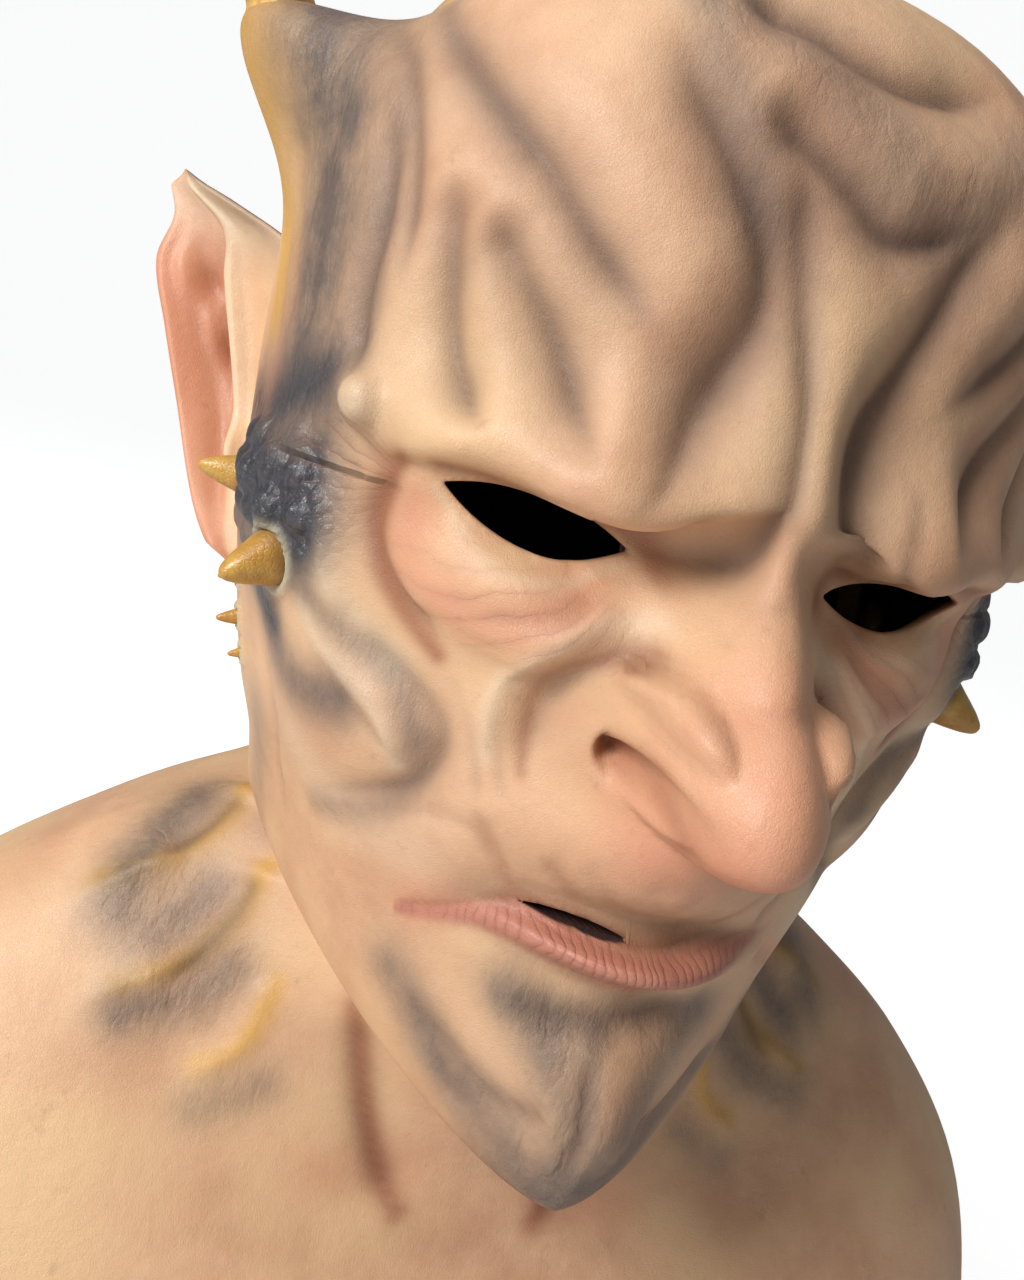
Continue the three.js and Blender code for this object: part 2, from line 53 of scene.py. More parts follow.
section_columns = [
    "key", "front_z", "side_z", "back_z", "front_y", "side_y", "back_y", "half", "front_full", "back_full"
]
sections = [
    ["crown", 0.96, 0.96, 0.96, 0.96, 0, 0, 0, 0, 2, 2],
    ["cap", 0.93, 0.925, 0.92, 0.91, -0.196, 0.027, 0.257, 0.257, 2, 2],
    ["dome", 0.83, 0.83, 0.8, 0.77, -0.332, 0.034, 0.413, 0.414, 2.1, 2],
    ["top", 0.66, 0.65, 0.64, 0.59, -0.42, 0.034, 0.501, 0.489, 2.3, 2],
    ["forehead", 0.43, 0.43, 0.4, 0.36, -0.467, 0.02, 0.521, 0.5, 2.4, 2],
    ["brow", 0.19, 0.19, 0.17, 0.11, -0.481, 0.02, 0.508, 0.5, 2.4, 2],
    ["eyes", 0, 0, 0, -0.07, -0.454, 0.02, 0.481, 0.493, 2.3, 2],
    ["cheek", -0.22, -0.22, -0.19, -0.23, -0.467, 0.02, 0.44, 0.482, 1.98, 2],
    ["lip", -0.42, -0.42, -0.37, -0.35, -0.481, 0.014, 0.399, 0.457, 1.82, 2],
    ["mouth", -0.58, -0.58, -0.48, -0.43, -0.487, 0.014, 0.372, 0.436, 1.75, 2],
    ["chin", -0.77, -0.8, -0.59, -0.49, -0.487, 0.02, 0.366, 0.407, 1.6, 2],
    ["jaw", -0.94, -1.08, -0.7, -0.54, -0.475, 0.034, 0.366, 0.386, 1.4, 2],
    ["throat", -1.02, -1.06, -0.72, -0.58, -0.325, 0.054, 0.366, 0.364, 1.55, 2],
    ["neck", -1.12, -1.08, -0.74, -0.64, -0.244, 0.074, 0.372, 0.371, 1.9, 2],
    ["nape", -1.3, -1.27, -0.79, -0.74, -0.21, 0.095, 0.406, 0.464, 2.1, 2],
    ["collar", -1.46, -1.46, -0.89, -0.86, -0.237, 0.102, 0.46, 0.593, 2.2, 2.1],
    ["shoulder", -1.6, -1.6, -1.08, -1.08, -0.305, 0.102, 0.501, 0.779, 2.2, 2.2],
    ["chest", -1.75, -1.75, -1.35, -1.38, -0.352, 0.102, 0.528, 0.943, 2.3, 2.3],
    ["hem", -1.94, -1.94, -1.78, -1.82, -0.386, 0.095, 0.542, 1.043, 2.3, 2.3],
]

# Swellings: centre, reach and push as shares, edge (under 1 a ball, over 1 a mound), inside follow, sides.
swells = [
    ["forehead", 0, -0.42, 0.5, 0.46, 0.35, 0.33, 0, -0.032, 0.022, 1.4, 0, 1],
    ["brow", 0.171, -0.501, 0.125, 0.136, 0.203, 0.078, 0, -0.081, -0.08, 1.3, 0.4, 2],
    ["brow end", 0.336, -0.379, 0.08, 0.064, 0.135, 0.08, 0.014, -0.034, -0.01, 1, 0.2, 2],
    ["brow knob", 0.405, -0.285, 0.1, 0.035, 0.08, 0.05, 0.012, -0.02, 0, 1, 0, 2],
    ["glabella", 0, -0.487, 0.18, 0.071, 0.203, 0.14, 0, -0.054, 0, 1, 0.3, 1],
    ["socket", 0.193, -0.487, -0.01, 0.093, 0.203, 0.05, 0, 0.034, 0, 1, 0.5, 2],
    ["eye bag", 0.236, -0.447, -0.13, 0.105, 0.203, 0.085, 0, -0.045, -0.02, 1.6, 0.3, 2],
    ["bridge", 0, -0.46, -0.03, 0.071, 0.271, 0.14, 0, -0.088, 0, 1.2, 0.4, 1],
    ["nose", 0, -0.467, -0.23, 0.125, 0.339, 0.17, 0, -0.15, -0.02, 1.5, 0.4, 1],
    ["nose ball", 0, -0.474, -0.258, 0.116, 0.406, 0.124, 0, -0.1, -0.042, 0.8, 0, 1],
    ["wing", 0.085, -0.46, -0.168, 0.042, 0.271, 0.036, 0.014, -0.045, 0.01, 0.9, 0, 2],
    ["nostril", 0.086, -0.46, -0.283, 0.026, 0.271, 0.036, 0.006, 0.11, 0.034, 1.4, 0, 2],
    ["cheek roll", 0.214, -0.447, -0.3, 0.1, 0.203, 0.14, 0, -0.02, 0, 1, 0.3, 2],
    ["cheekbone", 0.414, -0.237, -0.2, 0.086, 0.169, 0.14, 0.022, -0.012, 0, 1, 0.3, 2],
    ["temple knob", 0.46, -0.17, -0.08, 0.06, 0.12, 0.11, 0.022, -0.015, 0, 1.3, 0, 2],
    ["jaw lobe", 0.357, -0.284, -0.4, 0.086, 0.169, 0.12, 0.015, -0.012, 0, 1.2, 0.2, 2],
    ["muzzle", 0, -0.487, -0.46, 0.171, 0.271, 0.09, 0, -0.058, 0, 1.3, 0.5, 1],
    ["lower lip", 0, -0.487, -0.615, 0.136, 0.271, 0.04, 0, -0.058, 0, 1.3, 0.3, 1],
    ["under lip", 0, -0.487, -0.71, 0.143, 0.271, 0.05, 0, 0.014, 0, 1, 0.3, 1],
    ["chin", 0, -0.487, -0.86, 0.086, 0.271, 0.12, 0, -0.041, -0.03, 1, 0.3, 1],
    ["horn root", 0.49, 0.014, 0.63, 0.085, 0.125, 0.19, 0.118, 0, 0.05, 1.2, 0.3, 2],
    ["saddle", 0.44, -0.01, 0.78, 0.1, 0.17, 0.13, -0.07, 0, -0.1, 1, 0.9, 2],
]

# Folds: points as [turn in degrees, key], then width and depth as shares of the face, and sides.
folds = [
    ["brow fold right", [[-25, 0.74], [-13, 0.56], [-6, 0.4], [-8, 0.26], [-16, 0.09]], 0.052, 0.056, 1],
    ["brow fold left", [[22, 0.66], [14, 0.46], [9, 0.31], [6, 0.16], [13, 0.0]], 0.052, 0.056, 1],
    ["middle fold", [[-5, 0.6], [-3, 0.44], [-1, 0.22], [-3, 0.03], [-11, -0.02]], 0.042, 0.046, 1],
    ["root fold", [[-6, 0.15], [-9, 0.04], [-14, 0.01]], 0.022, 0.018, 2],
    ["inner fold", [[14, 0.22], [13, 0.12], [19, 0.03]], 0.022, 0.018, 1],
    ["crown valley", [[-12, 0.65], [-2, 0.57], [5, 0.49], [19, 0.58]], 0.06, 0.054, 1],
    ["crown fold", [[-18, 0.78], [-6, 0.775], [6, 0.73], [25, 0.78]], 0.058, 0.048, 1],
    ["long fold", [[-62, 0.74], [-47, 0.59], [-35, 0.48], [-25, 0.37], [-12, 0.25]], 0.055, 0.042, 2],
    ["arch fold", [[-41, 0.41], [-34, 0.32], [-27, 0.24], [-19, 0.15]], 0.046, 0.044, 2],
    ["outer fold", [[-46, 0.46], [-44, 0.33], [-40, 0.2], [-32, 0.12]], 0.042, 0.038, 2],
    ["temple fold", [[-71, 0.72], [-59, 0.6], [-53, 0.44], [-50, 0.26]], 0.035, 0.022, 2],
    ["temple step", [[-60, 0.57], [-57, 0.38], [-57, 0.24], [-54, 0.11]], 0.03, 0.028, 2],
    ["bag rim", [[-42, 0.02], [-46, -0.08], [-43, -0.17], [-34, -0.25]], 0.022, 0.028, 2],
    ["bag fold", [[-38, -0.12], [-30, -0.14], [-20, -0.11], [-14, -0.07]], 0.015, 0.01, 2],
    ["wing rim", [[-24, -0.4], [-23, -0.29], [-19, -0.21], [-14, -0.145], [-6, -0.12]], 0.022, 0.028, 2],
    ["nostril fold", [[-11, -0.25], [-9.5, -0.28], [-8, -0.32], [-6.5, -0.37]], 0.014, 0.013, 2],
    [
        "mouth line",
        [[-37, -0.69], [-28, -0.62], [-20, -0.59], [-6, -0.57], [8, -0.57], [25, -0.58]],
        0.022,
        0.04,
        1,
    ],
    ["chin crease", [[-21, -0.75], [-3, -0.71], [18, -0.7]], 0.03, 0.024, 1],
    ["chin cleft", [[-5, -0.74], [-6, -0.8], [-6, -0.88]], 0.022, 0.02, 1],
    ["jaw edge", [[-38, -0.83], [-23, -0.85], [-11, -0.82]], 0.03, 0.018, 2],
    ["cheek band", [[-55, -0.25], [-42, -0.3], [-35, -0.38], [-40, -0.5], [-58, -0.64]], 0.028, 0.026, 2],
    ["cheek crease", [[-55, -0.34], [-47, -0.4], [-40, -0.45]], 0.02, 0.012, 2],
    ["neck tendon", [[-35, -1.14], [-26, -1.23], [-16, -1.33], [-9, -1.4]], 0.05, 0.024, 2],
    ["neck ridge high", [[-86, -1.15], [-78, -1.25], [-74, -1.36]], 0.04, 0.022, 2],
    ["neck ridge low", [[-66, -1.16], [-59, -1.26], [-55, -1.42]], 0.04, 0.022, 2],
]

# Finer creases that the casting also holds; a negative depth stands up as a ridge.
wrinkles = [
    ["bag line 1", [[-37, -0.055], [-30, -0.085], [-22, -0.08], [-15, -0.05]], 0.008, 0.007, 2],
    ["bag line 2", [[-40, -0.1], [-32, -0.125], [-23, -0.11], [-15, -0.075]], 0.008, 0.008, 2],
    ["bag line 3", [[-41, -0.135], [-33, -0.16], [-24, -0.14], [-16, -0.1]], 0.007, 0.006, 2],
    ["bag line 4", [[-40, -0.165], [-32, -0.19], [-24, -0.17], [-17, -0.125]], 0.009, 0.009, 2],
    ["bag line 5", [[-37, -0.2], [-30, -0.215], [-23, -0.2]], 0.008, 0.006, 2],
    ["pouch edge", [[-41, -0.0], [-43, -0.09], [-41, -0.155], [-37, -0.2]], 0.014, -0.012, 2],
    ["lid edge", [[-40, 0.0], [-31, -0.075], [-20, -0.08], [-12, -0.04]], 0.008, -0.009, 2],
    ["brow edge", [[-54, 0.07], [-50, 0.03], [-45, 0.012], [-37, 0.03], [-26, 0.04]], 0.014, 0.018, 2],
    ["fan 1", [[-60, 0.0], [-55, -0.03], [-49, -0.06]], 0.008, 0.011, 2],
    ["fan 2", [[-59, 0.03], [-54, 0.0], [-48, -0.03]], 0.009, 0.012, 2],
    ["fan 3", [[-57, 0.06], [-51, 0.03], [-46, 0.0]], 0.009, 0.012, 2],
    ["fan 4", [[-60, -0.04], [-55, -0.06], [-50, -0.085]], 0.007, 0.008, 2],
    ["bone ridge", [[-56, -0.03], [-54, -0.12], [-52, -0.2], [-48, -0.26]], 0.02, -0.018, 2],
    ["cheek ridge", [[-57, -0.26], [-50, -0.335], [-43, -0.39], [-41, -0.47]], 0.02, -0.02, 2],
    ["wing ridge", [[-29, -0.4], [-28, -0.29], [-24, -0.185], [-17, -0.12], [-9, -0.085]], 0.022, -0.02, 2],
    ["soft cheek 1", [[-35, -0.26], [-31, -0.36], [-29, -0.47]], 0.016, 0.009, 2],
    ["soft cheek 2", [[-28, -0.27], [-27, -0.36], [-26, -0.45]], 0.014, 0.009, 2],
    ["cheek sweep", [[-47, -0.6], [-36, -0.52], [-29, -0.51], [-25, -0.56]], 0.016, 0.011, 2],
    ["lip dip 1", [[-29, -0.47], [-26, -0.52], [-23, -0.57]], 0.012, 0.011, 2],
    ["lip dip 2", [[-20, -0.48], [-17, -0.52], [-13, -0.56]], 0.011, 0.008, 2],
    ["lip dip 3", [[-15, -0.46], [-11, -0.51], [-7, -0.555]], 0.011, 0.008, 2],
    ["lip dip 4", [[-6, -0.46], [-3, -0.5], [0, -0.55]], 0.011, 0.006, 2],
    ["mouth corner", [[-39, -0.71], [-33, -0.67], [-28, -0.63]], 0.012, 0.014, 2],
    [
        "lip edge",
        [[-38, -0.74], [-28, -0.675], [-17, -0.668], [-9, -0.675], [5, -0.682], [18, -0.61]],
        0.013,
        0.017,
        1,
    ],
    ["glabella 1", [[-7, 0.0], [-3, -0.025], [3, -0.01]], 0.011, 0.01, 1],
    ["glabella 2", [[-6, -0.04], [-4, -0.09]], 0.012, 0.008, 1],
    ["root edge", [[-79, 0.52], [-82, 0.4], [-79, 0.29], [-74, 0.15]], 0.018, 0.017, 2],
    ["root seam", [[-82, 0.7], [-76, 0.61], [-73, 0.59], [-70, 0.64], [-68, 0.73]], 0.006, 0.009, 2],
    ["temple 1", [[-74, 0.46], [-70, 0.31], [-68, 0.16]], 0.014, 0.011, 2],
    ["temple 2", [[-66, 0.44], [-64, 0.3], [-63, 0.15]], 0.014, 0.011, 2],
    ["temple 3", [[-86, 0.4], [-82, 0.24], [-78, 0.1]], 0.012, 0.01, 2],
    ["jaw back", [[-73, -0.3], [-69, -0.44], [-67, -0.56], [-68, -0.7], [-65, -0.82]], 0.016, 0.012, 2],
    ["chin side 1", [[-37, -0.82], [-31, -0.87], [-24, -0.89]], 0.014, 0.012, 2],
    ["shoulder ridge 1", [[-92, -1.12], [-80, -1.2], [-74, -1.3], [-75, -1.5]], 0.045, -0.026, 2],
    ["shoulder ridge 2", [[-68, -1.12], [-60, -1.23], [-57, -1.34], [-60, -1.52]], 0.045, -0.026, 2],
    ["shoulder ridge 3", [[-48, -1.22], [-42, -1.34], [-44, -1.45]], 0.04, -0.018, 2],
]

# Hard thorns: turn, key, base radius and length in millimetres, and how far each leans up.
spikes = [
    ["upper", 88, -0.14, 5.2, 11, 0.1],
    ["main", 63, -0.22, 6.8, 12.5, -0.08],
    ["rear_1", 83, -0.33, 2.6, 5.5, 0],
    ["rear_2", 84, -0.42, 2.8, 6, 0],
    ["rear_3", 82, -0.5, 2.2, 4, 0],
]
collar_height = 0.0012
collar_width = 0.0009

# Lumps of the knuckle under each temple: turn, key, then radius and height as shares of the face.
lumps = [
    [72, -0.095, 0.036, 0.02],
    [64, -0.135, 0.029, 0.02],
    [57.5, -0.125, 0.027, 0.017],
    [66, -0.055, 0.034, 0.018],
    [59.5, -0.055, 0.026, 0.013],
    [72, -0.02, 0.03, 0.014],
    [79, -0.09, 0.031, 0.017],
    [79, -0.03, 0.025, 0.011],
    [70, -0.155, 0.024, 0.013],
    [63, 0.005, 0.026, 0.011],
    [77, -0.16, 0.03, 0.014],
    [84, -0.21, 0.028, 0.012],
    [76, -0.225, 0.026, 0.01],
    [56, -0.19, 0.02, 0.009],
    [51, 0.1, 0.034, 0.022],
]


def column(rows, names, name):
    return [row[names.index(name) + 1] for row in rows]


def smooth_column(keys, values, key):
    """A smooth curve through one column of a table, read at any key on the way down the rows."""
    keys = np.array(keys, float)
    values = np.array(values, float)
    forward = 1 if keys[-1] > keys[0] else -1
    slopes = np.gradient(values, keys)
    for i in range(1, len(keys) - 1):
        slopes[i] = (values[i + 1] - values[i - 1]) / (keys[i + 1] - keys[i - 1])
    row = np.clip(np.searchsorted(keys * forward, key * forward, side="left") - 1, 0, len(keys) - 2)
    step = keys[row + 1] - keys[row]
    s = np.clip((key - keys[row]) / step, 0, 1)
    start = (2 * s**3 - 3 * s**2 + 1) * values[row] + (s**3 - 2 * s**2 + s) * step * slopes[row]
    end = (3 * s**2 - 2 * s**3) * values[row + 1] + (s**3 - s**2) * step * slopes[row + 1]
    return start + end


section_keys = column(sections, section_columns, "key")


def section_at(name, key):
    return smooth_column(section_keys, column(sections, section_columns, name), key)


def plain_form(turn, key):
    """Plain form of the skin at a turn about the vertical (0 is the front) and a key down the sections."""
    sine = np.sin(np.radians(turn))
    cosine = np.cos(np.radians(turn))
    front = cosine > 0
    power = 2 / np.where(front, section_at("front_full", key), section_at("back_full", key))
    side_y = section_at("side_y", key)
    side_z = section_at("side_z", key)
    end_y = np.where(front, section_at("front_y", key), section_at("back_y", key))
    end_z = np.where(front, section_at("front_z", key), section_at("back_z", key))
    x = section_at("half", key) * np.sign(sine) * np.abs(sine) ** power
    y = side_y + (end_y - side_y) * np.abs(cosine) ** power
    z = side_z + (end_z - side_z) * np.abs(cosine) ** 1.5
    return np.stack([x, y, z], -1) * unit


def swell(point, inside=False):
    """Adds the swellings to points of the plain form."""
    share = point / unit
    moved = point.copy()
    for _, cx, cy, cz, rx, ry, rz, px, py, pz, edge, follow, sides in swells:
        for side in [1, -1][:sides]:
            far = ((share - np.array([cx * side, cy, cz])) / np.array([rx, ry, rz])) ** 2
            far = far.sum(-1)
            weight = np.maximum(0, 1 - far) ** edge if edge < 1 else np.exp(-(far**edge))
            weight = weight * (follow if inside else 1)
            moved += weight[..., None] * np.array([px * side, py, pz]) * unit
    return moved


def chart_curve(points, side=1, steps=20):
    """A smooth curve through points of the chart, laid on the plain form."""
    points = np.array(points, float) * np.array([side, 1])
    along = np.linspace(0, len(points) - 1, steps * (len(points) - 1) + 1)
    turns = smooth_column(np.arange(len(points)), points[:, 0], along)
    keys = smooth_column(np.arange(len(points)), points[:, 1], along)
    return plain_form(turns, keys)


def near_curve(point, line, reach):
    """Distance to a curve and share along it, for the points within a reach of it."""
    close = np.all((point > line.min(0) - reach) & (point < line.max(0) + reach), axis=-1)
    spots = point[close]
    best = np.full(len(spots), 1e9)
    share = np.zeros(len(spots))
    for i in range(len(line) - 1):
        run = line[i + 1] - line[i]
        t = np.clip(((spots - line[i]) @ run) / (run @ run), 0, 1)
        away = np.linalg.norm(spots - line[i] - t[:, None] * run, axis=-1)
        nearer = away < best
        best[nearer] = away[nearer]
        share[nearer] = (i + t[nearer]) / (len(line) - 1)
    return close, best, share


def fold_depth(point, rows):
    """How deep a list of folds cuts at points of the plain form; ridges count as negative."""
    valleys = np.zeros(len(point))
    ridges = np.zeros(len(point))
    for _, points, width, sink, sides in rows:
        for side in [1, -1][:sides]:
            line = chart_curve(points, side)
            close, best, share = near_curve(point, line, 5 * width * face)
            fade = np.clip(np.minimum(share, 1 - share) / fold_fade, 0, 1)
            fade = fade * fade * (3 - 2 * fade)
            soft = crease_round * (1 + 3 * (1 - share))
            cut = sink * face * fade * np.exp(-(np.hypot(best, soft) - soft * 0.5) / (width * face))
            if sink > 0:
                valleys[close] += cut**2
            else:
                ridges[close] += cut**2
    return np.sqrt(valleys) - np.sqrt(ridges)


def lump_height(point):
    """Height of the knuckle's lumps and of the collars round the spikes at points of the plain form."""
    raised = np.zeros(len(point))
    for turn, key, radius, height in lumps:
        for side in (1, -1):
            spot = plain_form(np.array([turn * side]), np.array([key]))[0]
            far = np.linalg.norm(point - spot, axis=-1) / (radius * face)
            raised = np.maximum(raised, height * face * np.exp(-(far**4)))
    return raised + collar_height * on_collar(point)


def on_collar(point):
    """1 on the torn collars round the spikes, falling to 0 away from them."""
    share = np.zeros(len(point))
    for _, turn, key, radius, _, _ in spikes:
        for side in (1, -1):
            spot = plain_form(np.array([turn * side]), np.array([key]))[0]
            far = np.linalg.norm(point - spot, axis=-1) - radius / 1000 * 1.07
            share += np.exp(-((far / collar_width) ** 2))
    return share


def outward(form, turn, key):
    """Outward direction of a form at turns and keys."""
    safe = np.minimum(key, crown_share - 0.004)
    across = form(turn + 0.5, safe) - form(turn - 0.5, safe)
    down = form(turn, safe - 0.003) - form(turn, safe + 0.003)
    normal = np.cross(down, across)
    normal /= np.linalg.norm(normal, axis=-1, keepdims=True)
    return np.where((key > crown_share - 0.004)[..., None], np.array([0, 0, 1.0]), normal)


def swollen(turn, key):
    return swell(plain_form(turn, key))


def lined(turn, key):
    return swell(plain_form(turn, key), True)


def outer_skin(turn, key):
    plain = plain_form(turn, key)
    sunk = fold_depth(plain, folds + wrinkles) - lump_height(plain)
    point = swollen(turn, key) - outward(swollen, turn, key) * sunk[..., None]
    return point + np.array([0, 0, eye_line])


def inner_skin(turn, key):
    point = lined(turn, key) - outward(lined, turn, key) * wall
    return point + np.array([0, 0, eye_line])


# Skin casting. Outer and inner walls of one painted silicone shell, open at the hem, cast in a closed mould.
# The eye openings and the mouth slit are cut afterwards. Columns and rows lie closest across the face.
skin_columns = 366
skin_rows = 244
lining_columns = 84
lining_rows = 56
turn_stops = [[0, 0.085, 0.19, 0.81, 0.915, 1], [-180, -95, -62, 62, 95, 180]]
key_stops = [[0, 0.05, 0.74, 0.88, 1], [0.96, 0.8, -0.95, -1.45, -1.94]]
front_y = -0.2 * depth

eye = {
    "inner_x": 0.112,
    "inner_z": -0.02,
    "outer_x": 0.318,
    "outer_z": 0.01,
    "top_z": 0.032,
    "bottom_z": -0.06,
    "lining_grow": 1.15,
    "edge_cuts": 1,
    # How deep the rolled rim goes before its painted shade is full.
    "shaded_by": 0.0055,
}
slit = {
    "left_x": -0.135,
    "right_x": -0.012,
    "z": -0.585,
    "drop": 0.006,
    "half": 0.011,
    "lining_grow": 1.4,
    "edge_cuts": 3,
    # How deep the rolled rim goes before its painted shade is full.
    "shaded_by": 0.001,
}
# How the edge of a hole rolls inward: how far back each step goes and how far it closes on the middle.
rolled = [(0.0005, 0.0004), (0.001, 0.0001), (0.0015, -0.0004), (0.002, -0.001)]
lining_gap = 0.0015
edge_band = 0.004


def shaped_grid(sheet, columns, rows, place):
    """Lays a grid in a bmesh and moves each point to the place of its share across and share down."""
    made = bmesh.ops.create_grid(sheet, x_segments=columns, y_segments=rows, size=1)["verts"]
    flat = np.array([vert.co for vert in made])
    points = place((flat[:, 0] + 1) / 2, (1 - flat[:, 1]) / 2)
    for vert, point in zip(made, points):
        vert.co = point
    return made


def skin_sheet(sheet, columns, rows, form):
    """One wall of the skin, its turn and key kept on every point."""
    turn_layer = sheet.verts.layers.float["turn"]
    key_layer = sheet.verts.layers.float["key"]
    inside_layer = sheet.verts.layers.float["inside"]
    chart = {}

    def place(across, down):
        chart["turn"] = np.interp(across, *turn_stops)
        chart["key"] = np.interp(down, *key_stops)
        return form(chart["turn"], chart["key"])

    made = shaped_grid(sheet, columns, rows, place)
    for vert, turn, key in zip(made, chart["turn"], chart["key"]):
        vert[turn_layer] = turn
        vert[key_layer] = key
        # The inner wall is marked inside, for the near-black coat of painted shade.
        vert[inside_layer] = form is inner_skin
    bmesh.ops.remove_doubles(sheet, verts=made, dist=1e-6)
    return [vert for vert in made if vert.is_valid]


def arc_outline(start, top, bottom, end, steps=28):
    """A closed outline seen from the front, two arcs between two corners, as x and z in metres."""
    share = np.linspace(0, 1, steps)[:, None]
    start, end = np.array(start), np.array(end)
    arcs = []
    for level in (top, bottom):
        middle = np.array([(start[0] + end[0]) / 2, 2 * level - (start[1] + end[1]) / 2])
        arcs.append((1 - share) ** 2 * start + 2 * share * (1 - share) * middle + share**2 * end)
    outline = np.concatenate([arcs[0], arcs[1][-2:0:-1]])
    return outline * np.array([breadth, face]) + np.array([0, eye_line])


def inside_outline(outline, x, z):
    odd = np.zeros(len(x), bool)
    for (x1, z1), (x2, z2) in zip(outline, np.roll(outline, -1, 0)):
        spans = (z1 > z) != (z2 > z)
        cross = (x2 - x1) * (z - z1) / (z2 - z1 if z2 != z1 else 1e-12) + x1
        odd ^= spans & (x < cross)
    return odd


def onto_outline(outline, x, z):
    best, spot = 1e9, (x, z)
    for (x1, z1), (x2, z2) in zip(outline, np.roll(outline, -1, 0)):
        dx, dz = x2 - x1, z2 - z1
        t = min(max(((x - x1) * dx + (z - z1) * dz) / (dx * dx + dz * dz), 0), 1)
        px, pz = x1 + t * dx, z1 + t * dz
        away = math.hypot(px - x, pz - z)
        if away < best:
            best, spot = away, (px, pz)
    return spot


def widened(outline, grow, add):
    middle = outline.mean(0)
    away = outline - middle
    return middle + away * grow + away / np.linalg.norm(away, axis=-1, keepdims=True) * add


def finer(sheet, faces, outline, cuts):
    """Divides the faces round a coming hole so that its edge comes out fine."""
    middles = np.array([f.calc_center_median() for f in faces])
    band = widened(outline, 1, edge_band)
    close = inside_outline(band, middles[:, 0], middles[:, 2]) & (middles[:, 1] < front_y)
    edges = {e for f, picked in zip(faces, close) if picked for e in f.edges}
    bmesh.ops.subdivide_edges(sheet, edges=list(edges), cuts=cuts, use_grid_fill=True)


def smoothed(sheet, verts, factor):
    bmesh.ops.smooth_vert(
        sheet, verts=verts, factor=factor, use_axis_x=True, use_axis_y=True, use_axis_z=True
    )


def open_hole(sheet, faces, outline):
    """Opens a hole in one wall along an outline and gives back its edge."""
    middles = np.array([f.calc_center_median() for f in faces])
    inside = inside_outline(outline, middles[:, 0], middles[:, 2]) & (middles[:, 1] < front_y)
    gone = [f for f, cut in zip(faces, inside) if cut]
    marked = set(gone)
    rim = [e for f in gone for e in f.edges if sum(other not in marked for other in e.link_faces) == 1]
    bmesh.ops.delete(sheet, geom=gone, context="FACES")
    rim = [e for e in rim if e.is_valid]
    edge = {v for e in rim for v in e.verts}
    for vert in edge:
        vert.co.x, vert.co.z = onto_outline(outline, vert.co.x, vert.co.z)
    beside = {e.other_vert(v) for v in edge for e in v.link_edges} - edge
    smoothed(sheet, list(beside), 0.5)
    rim_edges = set(rim)
    along = {v: [e.other_vert(v) for e in v.link_edges if e in rim_edges] for v in edge}
    along = {v: pair for v, pair in along.items() if len(pair) == 2}
    for turn in range(12):
        eased = {v: v.co * 0.5 + (pair[0].co + pair[1].co) * 0.25 for v, pair in along.items()}
        for vert, spot in eased.items():
            vert.co = spot
            vert.co.x, vert.co.z = onto_outline(outline, vert.co.x, vert.co.z)
    return rim


def turned_in(sheet, rim, outline, steps, dark):
    """Rolls the edge of a hole inward, step by step, and gives it more painted shade the deeper it goes."""
    middle = Vector((outline[:, 0].mean(), 0, outline[:, 1].mean()))
    for back, close in steps:
        made = bmesh.ops.extrude_edge_only(sheet, edges=rim)["geom"]
        rim = [g for g in made if isinstance(g, bmesh.types.BMEdge) and g.is_boundary]
        for vert in {v for e in rim for v in e.verts}:
            away = Vector((vert.co.x, 0, vert.co.z)) - middle
            vert.co -= away.normalized() * close
            vert.co.y += back
            vert[sheet.verts.layers.float["inside"]] += back / dark
    return rim


holes = []
for side in (1, -1):
    corner_in = [eye["inner_x"] * side, eye["inner_z"]]
    corner_out = [eye["outer_x"] * side, eye["outer_z"]]
    holes.append((arc_outline(corner_in, eye["top_z"], eye["bottom_z"], corner_out), eye))
mouth_start = [slit["left_x"], slit["z"]]
mouth_end = [slit["right_x"], slit["z"] - slit["drop"]]
mouth_outline = arc_outline(mouth_start, slit["z"] + slit["half"], slit["z"] - slit["half"], mouth_end)
holes.append((mouth_outline, slit))

shell = bmesh.new()
shell.verts.layers.float.new("turn")
shell.verts.layers.float.new("key")
shell.verts.layers.float.new("inside")
outer_wall = skin_sheet(shell, skin_columns, skin_rows, outer_skin)
inner_wall = skin_sheet(shell, lining_columns, lining_rows, inner_skin)
inner_faces = [f for f in shell.faces if f.verts[0] in set(inner_wall)]
bmesh.ops.reverse_faces(shell, faces=inner_faces)
hem = [e for e in shell.edges if e.is_boundary]

lining = set(inner_faces)
for outline, hole in holes:
    finer(shell, [f for f in shell.faces if f not in lining], outline, hole["edge_cuts"])
    outer_rim = open_hole(shell, [f for f in shell.faces if f not in lining], outline)
    lining_outline = widened(outline, hole["lining_grow"], lining_gap)
    inner_rim = open_hole(shell, [f for f in inner_faces if f.is_valid], lining_outline)
    outer_rim = turned_in(shell, outer_rim, outline, rolled, hole["shaded_by"])
    bmesh.ops.bridge_loops(shell, edges=outer_rim + inner_rim)
bmesh.ops.bridge_loops(shell, edges=hem)


def piece_from(sheet, name):
    """Makes a named piece of a finished bmesh."""
    mesh = bpy.data.meshes.new(name)
    sheet.to_mesh(mesh)
    sheet.free()
    mesh.shade_smooth()
    piece = bpy.data.objects.new(name, mesh)
    bpy.context.scene.collection.objects.link(piece)
    return piece, mesh


skin, skin_mesh = piece_from(shell, "skin_casting")
